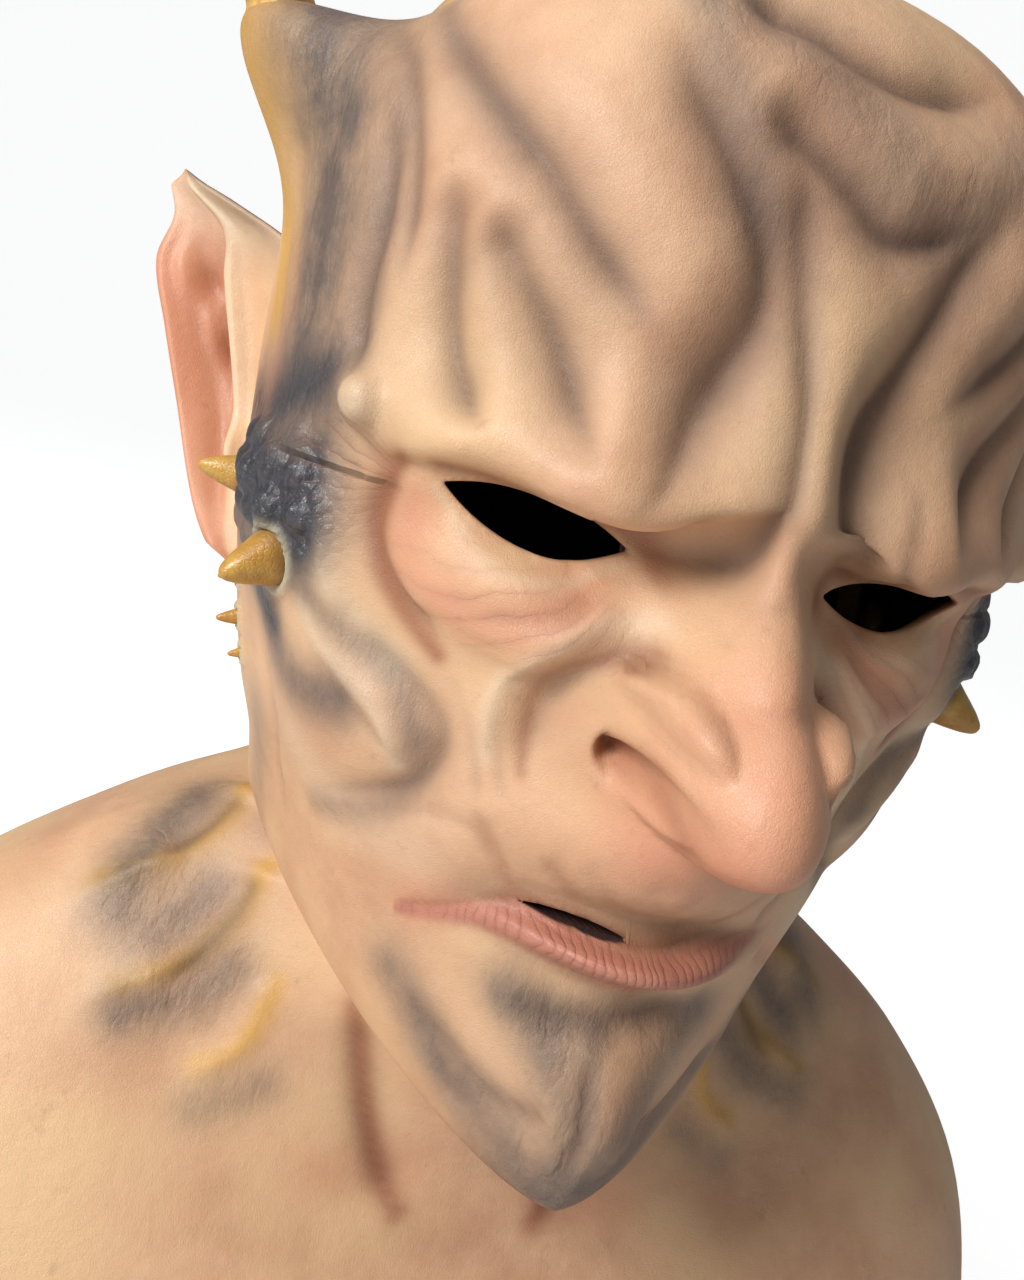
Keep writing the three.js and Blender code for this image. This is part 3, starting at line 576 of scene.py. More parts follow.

# Airbrushed paint: the points of each stroke on the chart, its width as a share of the face, strength, sides.
# Some strokes are painted light: grey along the forehead folds, the cheek band and the chin crease and cleft
# is painted shade over the mask's own grey-brown, umber in the grooves, the nostril and the mouth line is
# painted shade, and pale along the raised ridges is partly painted highlight.
strokes = [
    # Painted shade along the forehead folds, over the mask's grey-brown.
    ["grey_and_shade", [[-21, 0.77], [-12, 0.6], [-7, 0.46]], 0.045, 0.5, 1],
    ["grey_and_shade", [[-18, 0.78], [-3, 0.7], [8, 0.56], [22, 0.66]], 0.07, 0.5, 1],
    ["grey_and_shade", [[-58, 0.71], [-45, 0.57], [-38, 0.49]], 0.028, 0.4, 2],
    ["grey_and_shade", [[-60, 0.6], [-57, 0.39], [-54, 0.16]], 0.03, 0.4, 2],
    # Grey paint on the temples, by the knuckles and down to the cheek band.
    ["grey_and_shade", [[-76, 0.74], [-72, 0.5], [-69, 0.28], [-66, 0.1]], 0.15, 1.0, 2],
    ["grey_and_shade", [[-70, -0.27], [-65, -0.36], [-58, -0.41], [-50, -0.4]], 0.055, 0.9, 2],
    ["grey_and_shade", [[-66, 0.06], [-62, 0.0], [-60, -0.1], [-58, -0.2]], 0.06, 0.8, 2],
    # Painted shade along the cheek band.
    ["grey_and_shade", [[-58, -0.23], [-50, -0.285], [-42, -0.325], [-38, -0.4]], 0.026, 0.6, 2],
    ["grey_and_shade", [[-38, -0.4], [-39, -0.49], [-45, -0.58], [-56, -0.66]], 0.03, 0.5, 2],
    # Grey paint on the chin.
    ["grey_and_shade", [[-14, -0.95], [-4, -0.96], [8, -0.94]], 0.11, 1.0, 1],
    ["grey_and_shade", [[-40, -0.82], [-30, -0.87], [-20, -0.87], [-8, -0.9]], 0.055, 0.75, 2],
    ["grey_and_shade", [[2, -0.9], [13, -0.78], [21, -0.73]], 0.055, 0.7, 2],
    # Painted shade in the chin crease and cleft.
    ["grey_and_shade", [[-22, -0.745], [-4, -0.71], [19, -0.71]], 0.026, 0.55, 1],
    ["grey_and_shade", [[-5, -0.73], [-6, -0.8], [-6, -0.9]], 0.03, 0.6, 1],
    # Grey paint on the neck, behind the jaw and on the back of the head.
    ["grey_and_shade", [[-87, -1.27], [-80, -1.35], [-70, -1.43]], 0.07, 0.85, 2],
    ["grey_and_shade", [[-66, -1.28], [-63, -1.4]], 0.06, 0.8, 2],
    ["grey_and_shade", [[-52, -1.3], [-52, -1.38], [-56, -1.46]], 0.06, 0.75, 2],
    ["grey_and_shade", [[-36, -1.36], [-40, -1.44]], 0.05, 0.5, 2],
    ["grey_and_shade", [[-74, -0.6], [-78, -0.8], [-76, -1.0]], 0.06, 0.4, 2],
    ["grey_and_shade", [[-125, 0.6], [-130, 0.2], [-125, -0.3]], 0.2, 0.6, 2],
    ["grey_and_shade", [[-179, 0.7], [-179, 0.1], [-179, -0.5]], 0.22, 0.5, 1],
    ["charcoal", [[-84, 0.0], [-75, -0.05], [-67, -0.08], [-59, -0.09]], 0.09, 1.0, 2],
    ["charcoal", [[-82, -0.1], [-74, -0.13], [-66, -0.15], [-58, -0.15]], 0.07, 1.0, 2],
    ["charcoal", [[-72, 0.05], [-65, 0.09], [-60, 0.12]], 0.05, 0.8, 2],
    ["charcoal", [[-90, 0.0], [-90, -0.12], [-86, -0.22], [-78, -0.24]], 0.07, 0.7, 2],
    ["charcoal", [[-74, -0.26], [-69, -0.3], [-64, -0.34]], 0.03, 0.8, 2],
    ["charcoal", [[-58, 0.0], [-57, -0.08], [-56, -0.18]], 0.022, 0.6, 2],
    ["ochre", [[-92, 0.7], [-91, 0.5], [-87, 0.35], [-84, 0.2]], 0.06, 0.95, 2],
    ["ochre", [[-96, 0.78], [-89, 0.66], [-88, 0.54]], 0.13, 1.0, 2],
    ["ochre", [[-90, -1.13], [-80, -1.2], [-74, -1.3], [-75, -1.44]], 0.026, 0.9, 2],
    ["ochre", [[-66, -1.14], [-60, -1.23], [-57, -1.34], [-59, -1.45]], 0.026, 0.9, 2],
    ["ochre", [[-46, -1.24], [-42, -1.34], [-44, -1.41]], 0.024, 0.8, 2],
    # Pale paint along the raised ridges and the lid edge, partly painted highlight.
    ["pale", [[-56, -0.02], [-54, -0.12], [-52, -0.2], [-48, -0.26], [-42, -0.3]], 0.028, 0.75, 2],
    ["pale", [[-53, 0.1], [-50, 0.09]], 0.03, 0.8, 2],
    ["pale", [[-56, -0.27], [-50, -0.335], [-43, -0.39], [-41, -0.46]], 0.018, 0.7, 2],
    ["pale", [[-29, -0.38], [-28, -0.28], [-23, -0.18], [-16, -0.12], [-9, -0.09]], 0.018, 0.6, 2],
    ["pale", [[-37, 0.0], [-30, -0.07], [-20, -0.075], [-12, -0.04]], 0.008, 0.5, 2],
    ["pale", [[-60, -0.56], [-50, -0.62], [-38, -0.6]], 0.06, 0.4, 2],
    ["blush", [[0, -0.2], [-1, -0.3]], 0.12, 0.7, 1],
    ["blush", [[-2, -0.34], [-3, -0.4]], 0.09, 0.7, 1],
    ["blush", [[0, 0.0], [0, -0.12]], 0.07, 0.35, 1],
    ["blush", [[-40, -0.04], [-40, -0.13], [-30, -0.15], [-18, -0.1]], 0.055, 0.75, 2],
    ["blush", [[-12, -0.34], [-8, -0.43]], 0.06, 0.35, 2],
    ["blush", [[-38, -0.7], [-32, -0.655]], 0.035, 0.6, 2],
    ["blush", [[-22, -1.4], [-12, -1.33]], 0.06, 0.4, 2],
    # Painted shade in the grooves, the nostril and the mouth line.
    ["umber_shade", [[-43, 0.03], [-46, -0.06], [-45, -0.15], [-41, -0.215], [-36, -0.255]], 0.018, 0.95, 2],
    ["umber_shade", [[-46, 0.01], [-46, -0.06]], 0.03, 0.6, 2],
    ["umber_shade", [[-37, 0.035], [-23, 0.05], [-11, 0.01], [-9, -0.03]], 0.02, 0.7, 2],
    ["umber_shade", [[-24, -0.38], [-24, -0.28], [-21, -0.21], [-16, -0.16], [-10, -0.125]], 0.012, 0.55, 2],
    ["umber_shade", [[-12.5, -0.26], [-12, -0.29]], 0.022, 1.0, 2],
    ["umber_shade", [[-11, -0.24], [-9, -0.3], [-6, -0.36]], 0.012, 0.4, 2],
    [
        "umber_shade",
        [[-39, -0.71], [-31, -0.655], [-23, -0.59], [-8, -0.572], [8, -0.572], [24, -0.588]],
        0.008,
        0.7,
        1,
    ],
    ["umber_shade", [[-29, -0.48], [-26, -0.53], [-23, -0.575]], 0.014, 0.35, 2],
    ["umber_shade", [[-19, -0.5], [-14, -0.55]], 0.012, 0.3, 2],
    ["umber_shade", [[-35, -1.14], [-26, -1.23], [-16, -1.33], [-9, -1.4]], 0.026, 0.85, 2],
]
# The lower lip: turn, then the key of its upper and of its lower edge.
lip_edges = [
    [-40, -0.715, -0.735],
    [-36, -0.692, -0.714],
    [-32, -0.666, -0.69],
    [-28, -0.632, -0.672],
    [-23, -0.592, -0.664],
    [-17, -0.582, -0.667],
    [-9, -0.577, -0.673],
    [4, -0.575, -0.68],
    [11, -0.577, -0.665],
    [16, -0.58, -0.625],
    [24, -0.588, -0.603],
    [28, -0.592, -0.594],
]


def chart_of(mesh):
    turn = np.zeros(len(mesh.vertices), np.float32)
    key = np.zeros(len(mesh.vertices), np.float32)
    mesh.attributes["turn"].data.foreach_get("value", turn)
    mesh.attributes["key"].data.foreach_get("value", key)
    return turn.astype(float), key.astype(float)


def keep(mesh, name, values):
    """Keeps one number per point on a mesh for its material to read."""
    spot = mesh.attributes.new(name, "FLOAT", "POINT")
    spot.data.foreach_set("value", np.asarray(values, np.float32))


skin_turn, skin_key = chart_of(skin_mesh)
skin_plain = plain_form(skin_turn, skin_key)
for paint in ("grey_and_shade", "charcoal", "ochre", "pale", "blush", "umber_shade"):
    bare = np.ones(len(skin_plain))
    for name, points, width, strength, sides in strokes:
        if name != paint:
            continue
        for side in [1, -1][:sides]:
            close, best, share = near_curve(skin_plain, chart_curve(points, side), 2.6 * width * face)
            bare[close] *= 1 - strength * np.exp(-((best / (width * face)) ** 2))
    keep(skin_mesh, paint, 1 - bare)
# Shade is painted shade, a broad dark tone over the deep folds on top of the mask's airbrushed grey-brown
# there; crease is painted shade too, the narrow dark line at the bottom of every valley.
shade_widen = 1.4
shade_full = 0.06
crease_narrow = 0.3
crease_sink = 0.02
crease_full = 0.018
broad = [[name, points, width * shade_widen, sink, sides] for name, points, width, sink, sides in folds]
valleys = []
for name, points, width, sink, sides in folds + wrinkles:
    if sink > 0:
        valleys.append([name, points, width * crease_narrow, min(sink, crease_sink), sides])
keep(skin_mesh, "shade", np.clip(fold_depth(skin_plain, broad) / (shade_full * face), 0, 1) ** 1.3)
keep(skin_mesh, "crease", np.clip(fold_depth(skin_plain, valleys) / (crease_full * face), 0, 1))
keep(skin_mesh, "collar", np.clip(on_collar(skin_plain), 0, 1))
lip_turn, lip_top, lip_foot = np.array(lip_edges).T
lip_up = np.interp(skin_turn, lip_turn, lip_top) - skin_key
lip_down = skin_key - np.interp(skin_turn, lip_turn, lip_foot)
on_lip = np.clip(lip_up / 0.012 + 0.5, 0, 1) * np.clip(lip_down / 0.014 + 0.5, 0, 1)
on_lip = on_lip * (np.abs(skin_turn + 6) < 34)
keep(skin_mesh, "lip", on_lip)

# Fine lines across the lip, over the eye bags and at the eye corners: a coordinate that counts them, and
# how strong they are.
mirrored = -np.abs(skin_turn)
bag_angle = np.degrees(np.arctan2((skin_key + 0.02) * 130, (mirrored + 6) * 1.5))
on_bag = np.exp(-(((mirrored + 28) / 13) ** 2) - ((skin_key + 0.13) / 0.06) ** 2)
corner_angle = np.degrees(np.arctan2((skin_key + 0.02) * 130, (mirrored + 40) * 1.5))
on_corner = np.exp(-(((mirrored + 54) / 7) ** 2) - ((skin_key - 0.0) / 0.08) ** 2)
keep(skin_mesh, "lip_line", skin_turn * 0.56 + skin_key * 6)
keep(skin_mesh, "lip_line_on", on_lip * np.clip((np.minimum(lip_up, lip_down) + 0.012) / 0.03, 0, 1))
keep(skin_mesh, "bag_line", bag_angle / 6.5)
keep(skin_mesh, "bag_line_on", on_bag)
keep(skin_mesh, "corner_line", corner_angle / 9)
keep(skin_mesh, "corner_line_on", on_corner)


def link(tree, source, target):
    tree.links.new(source, target)


def put(tree, socket, value):
    if isinstance(value, bpy.types.NodeSocket):
        tree.links.new(value, socket)
    else:
        socket.default_value = value


def math_node(tree, operation, first, second=0.0, clamp=False):
    made = tree.nodes.new("ShaderNodeMath")
    made.operation = operation
    made.use_clamp = clamp
    put(tree, made.inputs[0], first)
    put(tree, made.inputs[1], second)
    return made.outputs[0]


def times(tree, first, second, clamp=False):
    return math_node(tree, "MULTIPLY", first, second, clamp)


def plus(tree, first, second, clamp=False):
    return math_node(tree, "ADD", first, second, clamp)


def minus(tree, first, second):
    return math_node(tree, "SUBTRACT", first, second)


def mix_colour(tree, share, first, second):
    made = tree.nodes.new("ShaderNodeMix")
    made.data_type = "RGBA"
    put(tree, made.inputs[0], share)
    put(tree, made.inputs[6], first)
    put(tree, made.inputs[7], second)
    return made.outputs[2]


def noise_node(tree, vector, scale, detail=4.0, rough=0.55):
    made = tree.nodes.new("ShaderNodeTexNoise")
    put(tree, made.inputs["Vector"], vector)
    made.inputs["Scale"].default_value = scale
    made.inputs["Detail"].default_value = detail
    made.inputs["Roughness"].default_value = rough
    return made.outputs["Fac"]


def ramp(tree, value, low, high):
    """Maps low to high onto 0 to 1, smoothly."""
    made = tree.nodes.new("ShaderNodeMapRange")
    made.interpolation_type = "SMOOTHSTEP"
    put(tree, made.inputs["Value"], value)
    made.inputs["From Min"].default_value = low
    made.inputs["From Max"].default_value = high
    return made.outputs["Result"]


def mesh_value(tree, name):
    made = tree.nodes.new("ShaderNodeAttribute")
    made.attribute_name = name
    return made.outputs["Fac"]


def new_material(name):
    made = bpy.data.materials.new(name)
    made.use_nodes = True
    return made, made.node_tree, made.node_tree.nodes["Principled BSDF"]


def bump_from(tree, shader, height, strength, distance):
    bump = tree.nodes.new("ShaderNodeBump")
    bump.inputs["Strength"].default_value = strength
    bump.inputs["Distance"].default_value = distance
    link(tree, height, bump.inputs["Height"])
    link(tree, bump.outputs["Normal"], shader.inputs["Normal"])


def rgb(red, green, blue):
    """A paint colour given as it looks on screen, 0 to 255."""
    linear = [((c / 255 + 0.055) / 1.055) ** 2.4 if c > 10 else c / 255 / 12.92 for c in (red, green, blue)]
    return (*linear, 1.0)


# Moulded grain: pores and small pits that silicone, horn resin and spike resin all take from their moulds.
grain = bpy.data.node_groups.new("moulded grain", "ShaderNodeTree")
grain.interface.new_socket("Vector", in_out="INPUT", socket_type="NodeSocketVector")
grain.interface.new_socket("Scale", in_out="INPUT", socket_type="NodeSocketFloat")
grain.interface.new_socket("Height", in_out="OUTPUT", socket_type="NodeSocketFloat")
grain.interface.new_socket("Tone", in_out="OUTPUT", socket_type="NodeSocketFloat")
grain_in = grain.nodes.new("NodeGroupInput")
grain_out = grain.nodes.new("NodeGroupOutput")
pores = grain.nodes.new("ShaderNodeTexVoronoi")
pores.feature = "DISTANCE_TO_EDGE"
link(grain, grain_in.outputs["Vector"], pores.inputs["Vector"])
link(grain, grain_in.outputs["Scale"], pores.inputs["Scale"])
fine = grain.nodes.new("ShaderNodeTexNoise")
link(grain, grain_in.outputs["Vector"], fine.inputs["Vector"])
link(grain, times(grain, grain_in.outputs["Scale"], 1.7), fine.inputs["Scale"])
fine.inputs["Detail"].default_value = 3.0
cell = ramp(grain, pores.outputs["Distance"], 0.0, 0.16)
link(grain, plus(grain, times(grain, cell, 0.5), fine.outputs["Fac"]), grain_out.inputs["Height"])
link(grain, fine.outputs["Fac"], grain_out.inputs["Tone"])


def grain_node(tree, vector, scale):
    made = tree.nodes.new("ShaderNodeGroup")
    made.node_tree = grain
    put(tree, made.inputs["Vector"], vector)
    made.inputs["Scale"].default_value = scale
    return made


silicone, tree, shader = new_material("painted silicone")
where = tree.nodes.new("ShaderNodeTexCoord").outputs["Object"]
warm = ramp(tree, noise_node(tree, where, 34, 5, 0.6), 0.35, 0.68)
golden = ramp(tree, noise_node(tree, where, 11, 3), 0.42, 0.68)
colour = mix_colour(tree, warm, rgb(222, 178, 142), rgb(204, 156, 122))
colour = mix_colour(tree, golden, colour, rgb(228, 190, 146))
mottle = noise_node(tree, where, 150, 5, 0.65)
patchy = plus(tree, times(tree, noise_node(tree, where, 60, 5, 0.65), 1.3), 0.35)
# The coats of paint in the order they go on: the mesh value that places each, its colour and its strength.
# The shade, crease, umber and inside coats are painted shade, the grey coat partly painted shade and the pale
# coat partly painted highlight.
coats = [
    ["blush", rgb(212, 136, 108), 0.8],
    ["ochre", rgb(218, 168, 84), 1.0],
    # Pale paint, partly painted highlight on the raised ridges.
    ["pale", rgb(236, 214, 184), 0.7],
    # Painted shade over the deep folds.
    ["shade", rgb(132, 108, 92), 0.8],
    # Grey paint, partly painted shade along the folds.
    ["grey_and_shade", rgb(106, 92, 84), 0.95],
    # Painted shade along the valley bottoms.
    ["crease", rgb(84, 60, 50), 0.75],
    # Painted shade in the grooves and hollows.
    ["umber_shade", rgb(150, 88, 56), 0.85],
    ["charcoal", rgb(62, 62, 68), 1.1],
    ["lip", rgb(190, 122, 104), 0.9],
    ["collar", rgb(206, 196, 168), 0.75],
    # Painted shade: the inner wall and the rims rolled into the holes go near-black.
    ["inside", rgb(58, 34, 30), 0.97],
]
full_coats = ("inside", "charcoal")
patchy_coats = ("grey_and_shade", "ochre", "shade")
for name, paint, strength in coats:
    amount = times(tree, mesh_value(tree, name), strength, name in full_coats)
    if name in patchy_coats:
        amount = times(tree, amount, patchy, True)
    colour = mix_colour(tree, amount, colour, paint)
speck = ramp(tree, mottle, 0.6, 0.78)
colour = mix_colour(tree, times(tree, speck, 0.25), colour, rgb(134, 88, 66))

# Heights are in millimetres. Lines are counted along a coordinate kept on the mesh: rounded ridges with
# narrow creases between them, named with how far they sway and how deep they are.
height = times(tree, grain_node(tree, where, 1500).outputs["Height"], 0.07)
height = plus(tree, height, times(tree, noise_node(tree, where, 130, 5, 0.6), 0.5))
wander = noise_node(tree, where, 60, 3)
for name, sway, deep in (("lip", 3.2, 0.2), ("bag", 1.6, 0.12), ("corner", 1.6, 0.3)):
    count = plus(tree, mesh_value(tree, name + "_line"), times(tree, wander, sway))
    wave = math_node(tree, "ABSOLUTE", math_node(tree, "SINE", times(tree, count, math.pi)))
    wave = math_node(tree, "POWER", wave, 0.5)
    on_line = mesh_value(tree, name + "_line_on")
    height = plus(tree, height, times(tree, wave, times(tree, on_line, deep)))
    # The creases between the fine lines are darkened with painted shade.
    dark = times(tree, minus(tree, 1.0, wave), on_line)
    colour = mix_colour(tree, times(tree, dark, 0.4), colour, rgb(142, 80, 66))
link(tree, colour, shader.inputs["Base Color"])

grey_and_shade_here = mesh_value(tree, "grey_and_shade")
shade_here = mesh_value(tree, "shade")
charcoal_here = mesh_value(tree, "charcoal")
gloss = plus(tree, times(tree, mottle, 0.25), 0.34)
gloss = minus(tree, gloss, times(tree, charcoal_here, 0.16))
gloss = minus(tree, gloss, times(tree, mesh_value(tree, "lip"), 0.12))
gloss = plus(tree, gloss, times(tree, mesh_value(tree, "inside"), 0.3))
gloss = plus(tree, gloss, times(tree, shade_here, 0.35), True)
link(tree, gloss, shader.inputs["Roughness"])
link(tree, times(tree, minus(tree, 1.0, shade_here), 0.1), shader.inputs["Coat Weight"])
shader.inputs["Coat Roughness"].default_value = 0.3
shader.inputs["Subsurface Weight"].default_value = 0.15
shader.inputs["Subsurface Radius"].default_value = (1.0, 0.45, 0.25)
shader.inputs["Subsurface Scale"].default_value = 0.002

# Grey skin is leathery, with fine upright cracks, and the charcoal knuckle is pebbled.
stretch = tree.nodes.new("ShaderNodeMapping")
stretch.inputs["Scale"].default_value = (1.0, 1.0, 0.35)
link(tree, where, stretch.inputs["Vector"])
upright = stretch.outputs["Vector"]
leather = noise_node(tree, upright, 150, 5, 0.6)
height = plus(tree, height, times(tree, leather, times(tree, grey_and_shade_here, 1.4)))
crack = minus(tree, noise_node(tree, upright, 110, 3, 0.5), 0.5)
crack = ramp(tree, math_node(tree, "ABSOLUTE", crack), 0.0, 0.06)
height = plus(tree, height, times(tree, crack, times(tree, grey_and_shade_here, 0.16)))
pebble = tree.nodes.new("ShaderNodeTexVoronoi")
pebble.inputs["Scale"].default_value = 380
link(tree, where, pebble.inputs["Vector"])
height = plus(tree, height, times(tree, pebble.outputs["Distance"], times(tree, charcoal_here, -0.9)))
bump_from(tree, shader, height, 1.0, 0.001)
skin_mesh.materials.append(silicone)
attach(skin, "root")
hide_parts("skin")


# Ears. A pointed ear on each side, a cupped leaf with a rolled rim and a hollow bowl.
# Each is cast in one with the silicone skin, and its root is buried in the side of the skull.
ear_columns = ["z", "root_x", "root_y", "rim_x", "rim_y", "thick", "cup"]
ear_sections = [
    ["lobe", -0.31, 0.457, 0.02, 0.486, 0.041, 0.02, 0],
    ["lobe rim", -0.27, 0.429, 0.02, 0.514, 0.064, 0.05, 0.01],
    ["low", -0.2, 0.429, 0.02, 0.543, 0.094, 0.05, 0.03],
    ["bowl", -0.04, 0.429, 0.034, 0.586, 0.157, 0.05, 0.06],
    ["middle", 0.09, 0.429, 0.047, 0.621, 0.191, 0.05, 0.06],
    ["upper", 0.21, 0.443, 0.061, 0.65, 0.218, 0.045, 0.05],
    ["shoulder", 0.3, 0.486, 0.088, 0.638, 0.228, 0.04, 0.03],
    ["point", 0.36, 0.59, 0.163, 0.65, 0.238, 0.036, 0.01],
    ["tip", 0.39, 0.63, 0.2, 0.646, 0.238, 0.026, 0],
]
ear_around = 104
ear_rows = 92
# Relief of the ear's front: hollow (raised when negative), share across and its reach, height and its reach.
ear_relief = [
    ["bowl", 0.03, 0.76, 0.12, 0.1, 0.2],
    ["front tube", -0.03, 0.56, 0.05, 0.13, 0.18],
    ["groove", 0.03, 0.645, 0.03, 0.12, 0.17],
    ["inner ridge", -0.02, 0.84, 0.05, 0.2, 0.05],
    ["inner bend", -0.016, 0.76, 0.04, 0.11, 0.05],
    ["pit high", 0.022, 0.72, 0.045, 0.19, 0.03],
    ["pit low", 0.03, 0.68, 0.04, 0.07, 0.035],
    ["tragus", -0.034, 0.57, 0.06, -0.1, 0.045],
    ["under bowl", 0.02, 0.74, 0.1, -0.12, 0.1],
    ["rim", -0.012, 0.96, 0.035, 0.15, 0.25],
    ["lobe", -0.018, 0.8, 0.15, -0.27, 0.04],
]


def near(value, middle, reach):
    return np.exp(-(((value - middle) / reach) ** 2))


def ear_surface(side, chart):
    keys = column(ear_sections, ear_columns, "z")

    def place(around, down):
        z = keys[0] + (keys[-1] - keys[0]) * down
        at = {}
        for name in ear_columns[1:]:
            at[name] = smooth_column(keys, column(ear_sections, ear_columns, name), z)
        angle = around * 2 * math.pi
        across = 0.5 - 0.5 * np.cos(angle)
        pinch = np.minimum(1, np.minimum(down, 1 - down) * 20)
        front = np.clip(-np.sin(angle), 0, 1) ** 0.5 * pinch
        relief = np.zeros(len(z))
        for _, hollow, cross, cross_reach, level, level_reach in ear_relief:
            relief += hollow * near(across, cross, cross_reach) * near(z, level, level_reach)
        root = np.stack([at["root_x"] * breadth, at["root_y"] * depth], -1)
        rim = np.stack([at["rim_x"] * breadth, at["rim_y"] * depth], -1)
        middle = (root + rim) / 2
        spot = middle + (root + (rim - root) * across[:, None] - middle) * pinch[:, None]
        back = np.stack([root[:, 1] - rim[:, 1], rim[:, 0] - root[:, 0]], -1)
        back /= np.linalg.norm(back, axis=-1, keepdims=True)
        bow = at["cup"] * np.sin(math.pi * across)
        flare = 1 + 0.8 * np.exp(-((across / 0.25) ** 2))
        swelled = 0.5 * at["thick"] * flare * np.sin(angle) * pinch
        spot += back * ((bow + swelled + relief * front) * face)[:, None]
        chart.update(across=across, front=front, level=z, relief=relief)
        return np.stack([spot[:, 0] * side, spot[:, 1], z * face + eye_line], -1)

    return place


for side, name in ((-1, "right_ear"), (1, "left_ear")):
    leaf = bmesh.new()
    chart = {}
    for part in ("across", "front", "level", "relief"):
        leaf.verts.layers.float.new(part)
    made = shaped_grid(leaf, ear_around, ear_rows, ear_surface(side, chart))
    for part, values in chart.items():
        layer = leaf.verts.layers.float[part]
        for vert, value in zip(made, values):
            vert[layer] = value
    bmesh.ops.remove_doubles(leaf, verts=leaf.verts, dist=1e-6)
    bmesh.ops.recalc_face_normals(leaf, faces=leaf.faces)
    smoothed(leaf, leaf.verts, 0.4)
    ear, ear_mesh = piece_from(leaf, name)
    seen = {}
    for part in ("across", "front", "level", "relief"):
        seen[part] = np.zeros(len(ear_mesh.vertices), np.float32)
        ear_mesh.attributes[part].data.foreach_get("value", seen[part])
    across, front, level = seen["across"], np.clip(seen["front"] * 2, 0, 1), seen["level"]
    keep(ear_mesh, "blush", front * np.clip((across - 0.6) / 0.06, 0, 1) * 0.8)
    tube = near(across, 0.55, 0.07) * near(level, 0.08, 0.24)
    keep(ear_mesh, "pale", front * (tube + near(level, 0.34, 0.07) * 0.8))
    # Painted shade in the ear's hollows, stronger the deeper the hollow.
    keep(ear_mesh, "umber_shade", front * np.clip(seen["relief"] / 0.05, 0, 1) * 0.8)
    tip = np.clip((level - 0.2) / 0.12, 0, 1)
    keep(ear_mesh, "grey_and_shade", tip * np.clip(1.1 - across, 0, 1) * (1 - 0.55 * front))
    keep(ear_mesh, "charcoal", np.clip(-(level + 0.02) / 0.2, 0, 0.35) * (1 - front))
    ear_mesh.materials.append(silicone)
    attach(ear, "root")
    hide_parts("skin")


# Horns. Two hard resin horns, cast apart and glued into the flared roots on the temples.
# They bend outward and up, ringed by growth ridges, and darken towards the tip.
horn = {
    "base": np.array([0.535, 0.02, 0.57]),
    "bend": np.array([0.65, 0.02, 0.95]),
    "tip": np.array([0.66, 0.095, 1.45]),
    "across": 0.009,
    "along": 0.013,
    "taper": 0.75,
    "rings": 17,
    "ring_height": 0.03,
}
horn_around = 64
horn_rows = 150


def horn_surface(side):
    def place(around, down):
        tip_first = 1 - down
        share = tip_first[:, None]
        curve = (1 - share) ** 2 * horn["base"] + share**2 * horn["tip"]
        centre = (curve + 2 * share * (1 - share) * horn["bend"]) * unit
        angle = around * 2 * math.pi
        size = np.clip(1 - tip_first, 0, 1) ** horn["taper"]
        size[tip_first < 1e-6] = 0
        ring = 2 * math.pi * horn["rings"] * tip_first**0.85
        wave = np.sin(ring + 0.5 * np.sin(angle * 2 + tip_first * 9))
        ridge = 1 + horn["ring_height"] * wave * (1 - tip_first) + 0.012 * np.sin(angle * 9 + tip_first * 5)
        x = centre[:, 0] + horn["across"] * size * ridge * np.cos(angle)
        y = centre[:, 1] + horn["along"] * size * ridge * np.sin(angle)
        return np.stack([x * side, y, centre[:, 2] + eye_line], -1)

    return place


horn_resin, tree, shader = new_material("horn resin")
where = tree.nodes.new("ShaderNodeTexCoord").outputs["Object"]
fibre = tree.nodes.new("ShaderNodeMapping")
fibre.inputs["Scale"].default_value = (1.0, 1.0, 0.12)
link(tree, where, fibre.inputs["Vector"])
streak = noise_node(tree, fibre.outputs["Vector"], 420, 5, 0.6)
colour = mix_colour(tree, ramp(tree, streak, 0.35, 0.7), rgb(226, 182, 104), rgb(188, 136, 66))
colour = mix_colour(tree, times(tree, mesh_value(tree, "groove"), 0.6), colour, rgb(122, 84, 48))
colour = mix_colour(tree, mesh_value(tree, "tip"), colour, rgb(70, 48, 34))
blotch = ramp(tree, noise_node(tree, where, 70, 5, 0.6), 0.55, 0.75)
colour = mix_colour(tree, times(tree, blotch, 0.4), colour, rgb(150, 110, 76))
link(tree, colour, shader.inputs["Base Color"])
link(tree, plus(tree, times(tree, streak, 0.25), 0.3), shader.inputs["Roughness"])
shader.inputs["Coat Weight"].default_value = 0.2
shader.inputs["Coat Roughness"].default_value = 0.25
height = plus(tree, streak, times(tree, grain_node(tree, where, 900).outputs["Height"], 0.3))
bump_from(tree, shader, height, 0.5, 0.0005)

for side, name in ((-1, "right_horn"), (1, "left_horn")):
    cone = bmesh.new()
    shaped_grid(cone, horn_around, horn_rows, horn_surface(side))
    bmesh.ops.remove_doubles(cone, verts=cone.verts, dist=1e-6)
    bmesh.ops.recalc_face_normals(cone, faces=cone.faces)
    made, horn_mesh = piece_from(cone, name + "_resin")
    spots = np.array([v.co for v in horn_mesh.vertices])
    rise = (spots[:, 2] - eye_line) / face
    tip_share = np.clip((rise - horn["base"][2]) / (horn["tip"][2] - horn["base"][2]), 0, 1)
    keep(horn_mesh, "tip", np.clip((tip_share - 0.55) / 0.45, 0, 1) ** 1.5 * 0.85)
    keep(horn_mesh, "groove", 0.5 - 0.5 * np.sin(2 * math.pi * horn["rings"] * tip_share**0.85))
    horn_mesh.materials.append(horn_resin)
    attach(made, "root")
    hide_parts(name)


